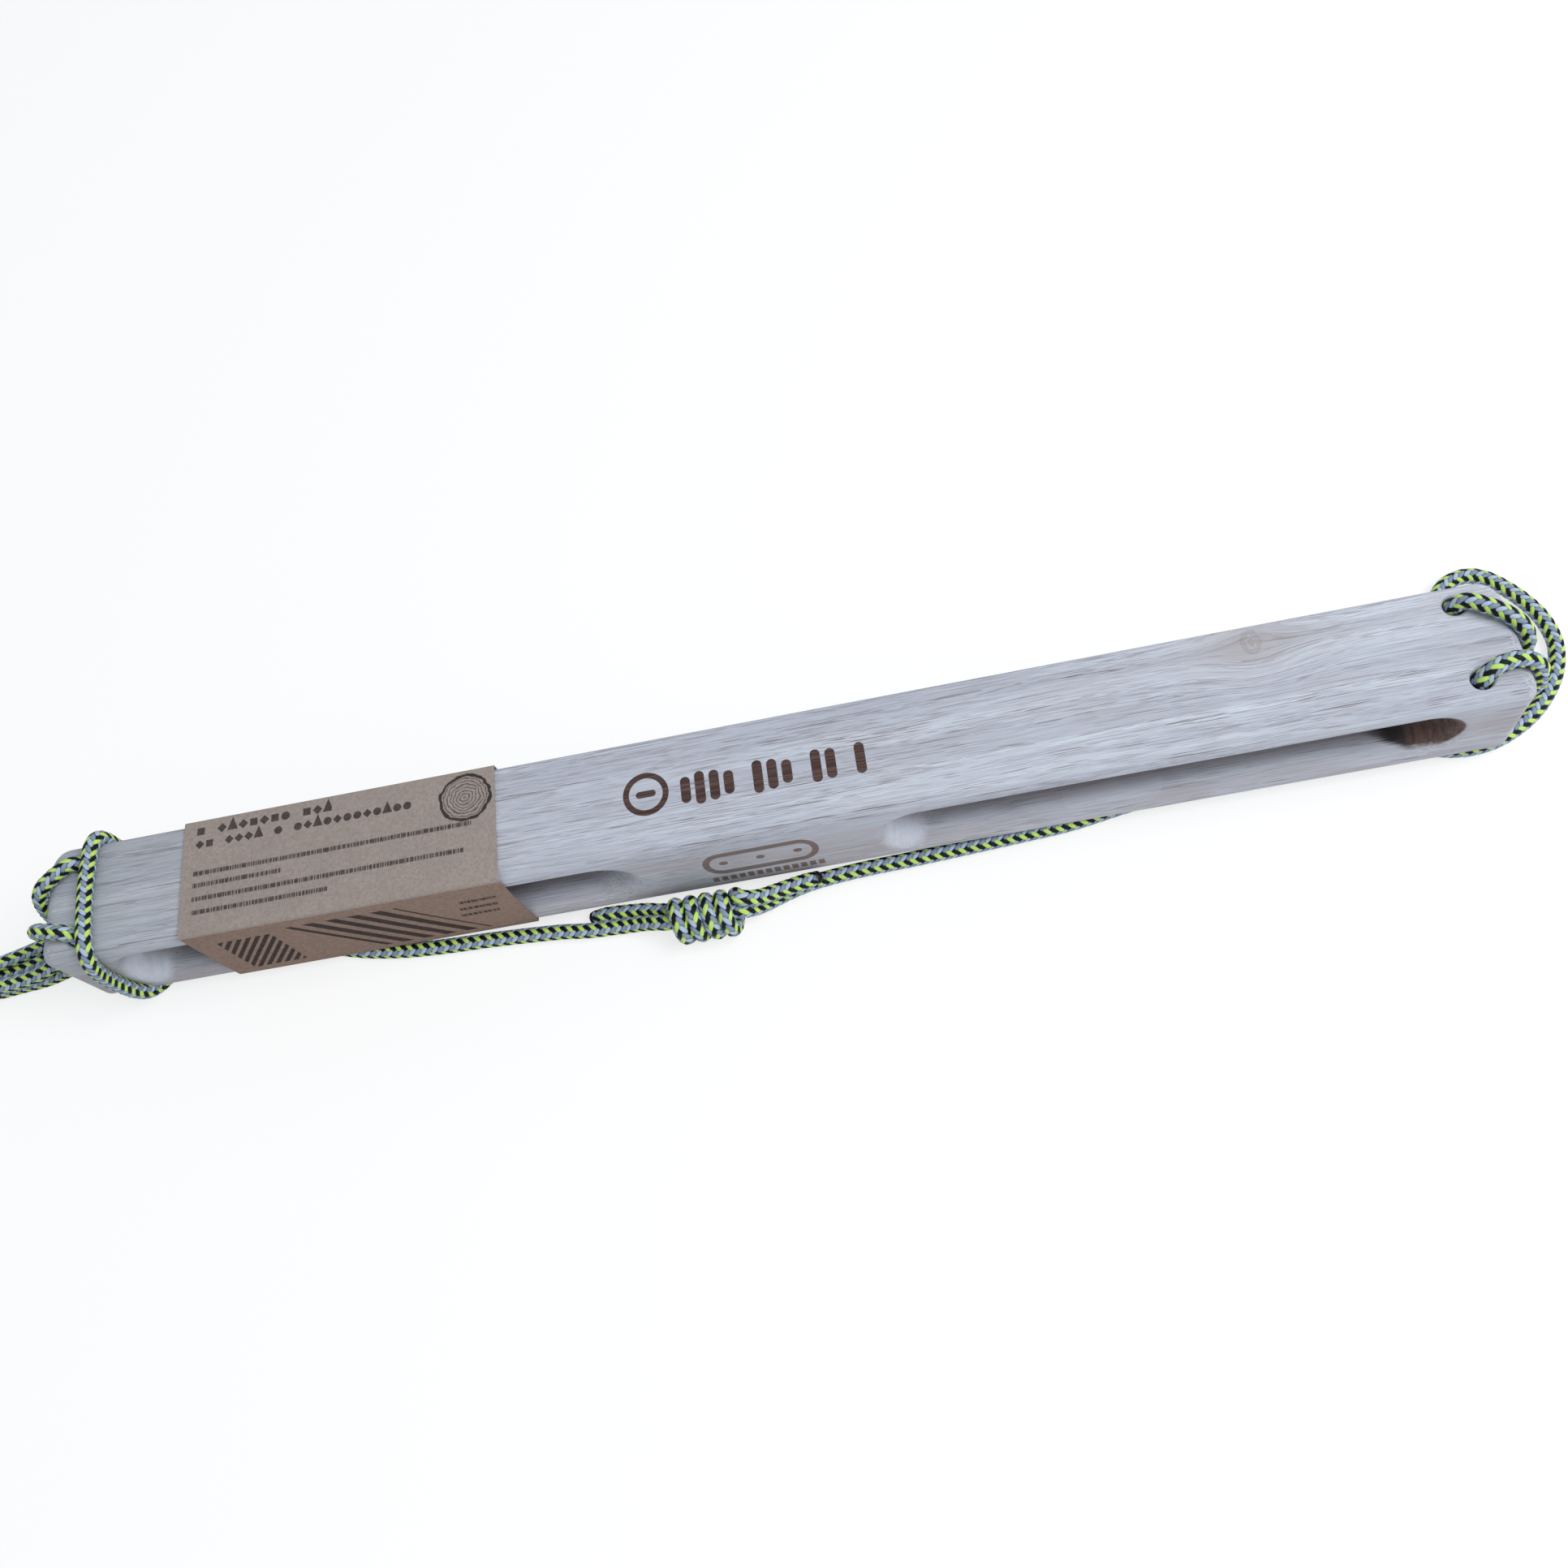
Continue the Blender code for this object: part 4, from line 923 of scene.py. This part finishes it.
outline = g.within(from_line(x, g.times(z, 0.75), 1, 20, 13.2), 4.3, 6.8, 0.2)
dots = g.distance(g.math("PINGPONG", g.minus(x, 1), 6.4), g.minus(z, 27))
dots = g.both(g.rise(dots, 1.6, 1.45), g.rise(g.away(x, 1), 15, 14.9))
ticks = g.rise(g.away(g.fraction(g.over(x, 3.1)), 0.5), 0.36, 0.32)
ticks = g.both(ticks, g.rise(g.away(z, 13.6), 2, 1.85), g.rise(g.away(x, 1.5), 20.2, 20.1))
front_mark = g.both(g.either(outline, dots, ticks), g.rise(y, -20.3, -20.6))
g.stain(front_mark, g.tones(fibres, (104, 86, 80), (134, 116, 108), 0.4, 0.65), 0.9)

burnt = g.either(top_mark, front_mark)
relief = g.plus(g.times(g.either(long_pores, short_pores, hair_pores), -0.7), g.times(fibres, 0.35))
g.bump(g.minus(relief, burnt), 0.12, 0.6)
bar.data.materials.append(g.finish(g.times_plus(burnt, 0.15, 0.62), 0.3))
print(len(g.tree.nodes), "nodes in the wood")

# %% [markdown]
# ## The card
# Recycled card is brown with a fine mottle and stray fibres. The print is a plain layout of its own: two bold rows
# of shapes, four thin rows of dashes, a set of growth rings at one corner and a hatched band on the front. Cut edges
# show the paler core of the card.

# %% Card material
ROW_START = -192


def kraft(name, dark, light):
    """The plain card: its graph, the coordinates and the mottle."""
    graph = Graph(name)
    spot = graph.millimetres()
    mottle = graph.noise(spot, 0.9, 5, 0.75)
    cloud = graph.noise(spot, 0.06, 2)
    hairs = graph.streaks(spot, 0.9, 3.5, 2, 0.6)
    graph.base = graph.tones(mottle, dark, light)
    graph.stain(graph.rise(cloud, 0.35, 0.7), dark, 0.25)
    graph.stain(graph.rise(hairs, 0.66, 0.74), (178, 166, 152), 0.45)
    graph.stain(graph.rise(hairs, 0.34, 0.27), (96, 82, 72), 0.35)
    return graph, spot, mottle


g, place, mottle = kraft("kraft_card", (149, 137, 130), (172, 159, 151))
x, y, z = g.split(place)
on_top = g.rise(z, 47.4, 47.6)
on_front = g.both(g.rise(y, -20.8, -21), g.rise(z, 47, 46.6))


def dash_row(across, middle, half, low, high, size, seed):
    """One printed row of blocks of many lengths, each of the ragged height of a line of print."""
    along = g.times_plus(x, 1 / size, seed)
    gaps, ragged = (g.node("TexNoise", {"W": run, "Detail": 0}, noise_dimensions="1D").outputs[0]
                    for run in (along, g.times(along, 3.7)))
    off = g.over(g.away(across, middle), half)
    inside = g.math("LESS_THAN", off, g.rise(ragged, 0.3, 0.7, 0.62, 1.05))
    speckle = g.noise(g.join(x, across, seed), 3 / size ** 0.3, 1)
    pierced = g.math("LESS_THAN", g.times(speckle, off), 0.6)
    return g.both(g.rise(gaps, 0.41, 0.43), inside, pierced, g.within(x, low - 0.05, high + 0.05, 0.1))


def shape_row(middle, half, high, seed):
    """One bold row of discs, lozenges, squares and triangles in a random order, with gaps."""
    along = g.over(g.minus(x, ROW_START), half * 2)
    count = g.plus(g.math("FLOOR", along), seed)
    kind = g.node("TexWhiteNoise", {"W": count}, noise_dimensions="1D").outputs[0]
    up = g.over(g.minus(y, middle), half)
    inside = g.size(g.times_plus(g.fraction(along), 2, -1))
    high_up = g.size(up)
    shape = g.distance(inside, up)
    lozenge = g.times(g.plus(inside, high_up), 0.88)
    square = g.times(g.larger(inside, high_up), 1.15)
    triangle = g.larger(g.times_plus(up, 0.45, g.times(inside, 1.1)), g.times(up, -1.15))
    for least, other in ((0.4, lozenge), (0.6, square), (0.8, triangle)):
        shape = g.choose(g.math("GREATER_THAN", kind, least), other, shape)
    return g.both(g.rise(shape, 0.84, 0.78), g.math("GREATER_THAN", kind, 0.16),
                  g.rise(x, ROW_START - 0.1, ROW_START), g.rise(x, high + 0.05, high))


bold = g.either(shape_row(17, 1.95, -142, 3), shape_row(12, 1.8, -113, 31))
rows = [(1.1, -92, 21), (-3.3, -160, 35), (-8.3, -95, 47), (-13.2, -143, 59)]
thin = g.either(*[dash_row(y, middle, 1, ROW_START, high, 2.1, seed) for middle, high, seed in rows])
from_pith = g.distance(g.minus(x, -94), g.times(g.minus(y, 11), 1.05))
from_pith = g.times_plus(g.noise(place, 0.35, 3), 2.4, from_pith)
growth = g.both(g.rise(g.sine(g.times(from_pith, 5.2)), 0.25, 0.6), g.rise(from_pith, 9.4, 9.2))
bark = g.within(from_pith, 9.3, 10.6, 0.2)
top_print = g.either(g.times(bold, 0.92), g.times(thin, 0.9), g.times(growth, 0.7), bark)
top_print = g.both(top_print, on_top)

lean = g.times_plus(z, 0.75, x)
hatch = g.both(g.within(g.fraction(g.over(lean, 8)), 0.42, 0.97, 0.03), g.within(lean, -131, -91.2, 0.2),
               g.within(z, 10.4, 41.4, 0.2))
fine = g.fraction(g.over(g.times_plus(z, -0.75, x), 3.4))
fine = g.both(g.rise(fine, 0.4, 0.46), g.within(x, -188, -168, 0.2), g.within(z, 11.4, 38.8, 0.2))
small = g.either(*[dash_row(z, 36 - 5.5 * row, 1.2, -102 - 1.5 * row, -88.5 - 1.5 * row, 2.4, 70 + 9 * row)
                   for row in range(3)])
front_print = g.both(g.either(hatch, fine, small), on_front)
# Painted shade: the front panel is darker and warmer than the top, as a side facing away from the light and lit by
# warm bounce light.
g.stain(on_front, g.tones(mottle, (126, 99, 83), (152, 124, 106)), 0.75)
ink = g.times(g.either(top_print, front_print), g.times_plus(g.rise(mottle, 0.3, 0.7), -0.12, 1))
g.stain(ink, (52, 43, 42))
g.bump(g.plus(mottle, g.times(ink, 0.15)), 0.08, 0.5)
sleeve.data.materials.append(g.finish(0.85, 0.2))
g, _, mottle = kraft("card_core", (160, 148, 136), (196, 184, 170))
g.bump(mottle, 0.15, 0.8)
sleeve.data.materials.append(g.finish(0.95, 0.1))
print(len(sleeve.data.materials), "materials on the sleeve")

# %% [markdown]
# ## The tie's webbing
# The band is woven nylon. Its threads cross at right angles, which a product of two waves shows well enough at this
# size, with a painted highlight along each thread's middle and painted shade between the threads.

# %% Webbing material
THREAD_ALONG, THREAD_ACROSS = 1.1, 1
g = Graph("woven_band")
place = g.millimetres()
x, y, z = g.split(place)
round_it = g.sine(g.times(g.plus(y, z), 2 * math.pi / THREAD_ALONG))
across = g.sine(g.times(x, 2 * math.pi / THREAD_ACROSS))
threads = g.size(g.times(round_it, across))
fuzz = g.noise(place, 2.5, 3)
# Painted light: each thread is lighter along its middle and darker between the threads.
g.base = g.tones(threads, (18, 19, 21), (52, 54, 58), 0.1, 0.8)
g.stain(g.rise(fuzz, 0.55, 0.8), (70, 72, 76), 0.4)
g.bump(g.times_plus(fuzz, 0.4, threads), 0.15, 0.8)
tie.data.materials.append(g.finish(0.8, 0.2))
print(len(g.tree.nodes), "nodes in the webbing")

# %% [markdown]
# ## Floor, light and backdrop
# The object lies on a plain white table in soft daylight. The camera sees the floor white, with only a soft part of
# the shadow, and the backdrop white as well.

# %% Floor and lights
def show_camera(tree, lit, shown, share, output):
    """Lets the camera see that share of one shader, while everything else meets the other."""
    seen, part, mixed = (tree.nodes.new("ShaderNode" + kind) for kind in ("LightPath", "Math", "MixShader"))
    part.operation = "MULTIPLY"
    part.inputs[1].default_value = share
    tree.links.new(seen.outputs["Is Camera Ray"], part.inputs[0])
    for source, socket in zip((part, lit, shown), mixed.inputs):
        tree.links.new(source.outputs[0], socket)
    tree.links.new(mixed.outputs[0], tree.nodes[output].inputs["Surface"])


bpy.ops.mesh.primitive_plane_add(size=8, location=(0, 0, -0.2 * MM))
floor = bpy.context.object
floor.name = "floor"
white = bpy.data.materials.new("white_table")
white.use_nodes = True
tree = white.node_tree
table = tree.nodes["Principled BSDF"]
table.inputs["Base Color"].default_value = (0.92, 0.92, 0.92, 1)
table.inputs["Roughness"].default_value = 0.9
table.inputs["Specular IOR Level"].default_value = 0
glow = tree.nodes.new("ShaderNodeEmission")
glow.inputs["Strength"].default_value = 1.1
show_camera(tree, table, glow, 0.65, "Material Output")
floor.data.materials.append(white)

world = bpy.data.worlds.new("daylight")
world.use_nodes = True
bpy.context.scene.world = world
tree = world.node_tree
sky = tree.nodes["Background"]
sky.inputs["Color"].default_value = (0.93, 0.96, 1, 1)
sky.inputs["Strength"].default_value = 0.5
backdrop = tree.nodes.new("ShaderNodeBackground")
backdrop.inputs["Color"].default_value = (1, 1, 1, 1)
show_camera(tree, sky, backdrop, 1, "World Output")

lamp_data = bpy.data.lights.new("window", "AREA")
lamp_data.shape = "SQUARE"
lamp_data.size = 0.9
lamp_data.energy = 14.5
lamp_data.color = (0.94, 0.97, 1)
lamp = bpy.data.objects.new("window", lamp_data)
bpy.context.scene.collection.objects.link(lamp)
lamp.location = (0.85, -0.22, 1.25)
lamp.rotation_euler = lamp.location.to_track_quat("Z", "Y").to_euler()
bpy.context.scene.view_settings.view_transform = "Standard"
print("floor, sky and one soft lamp")
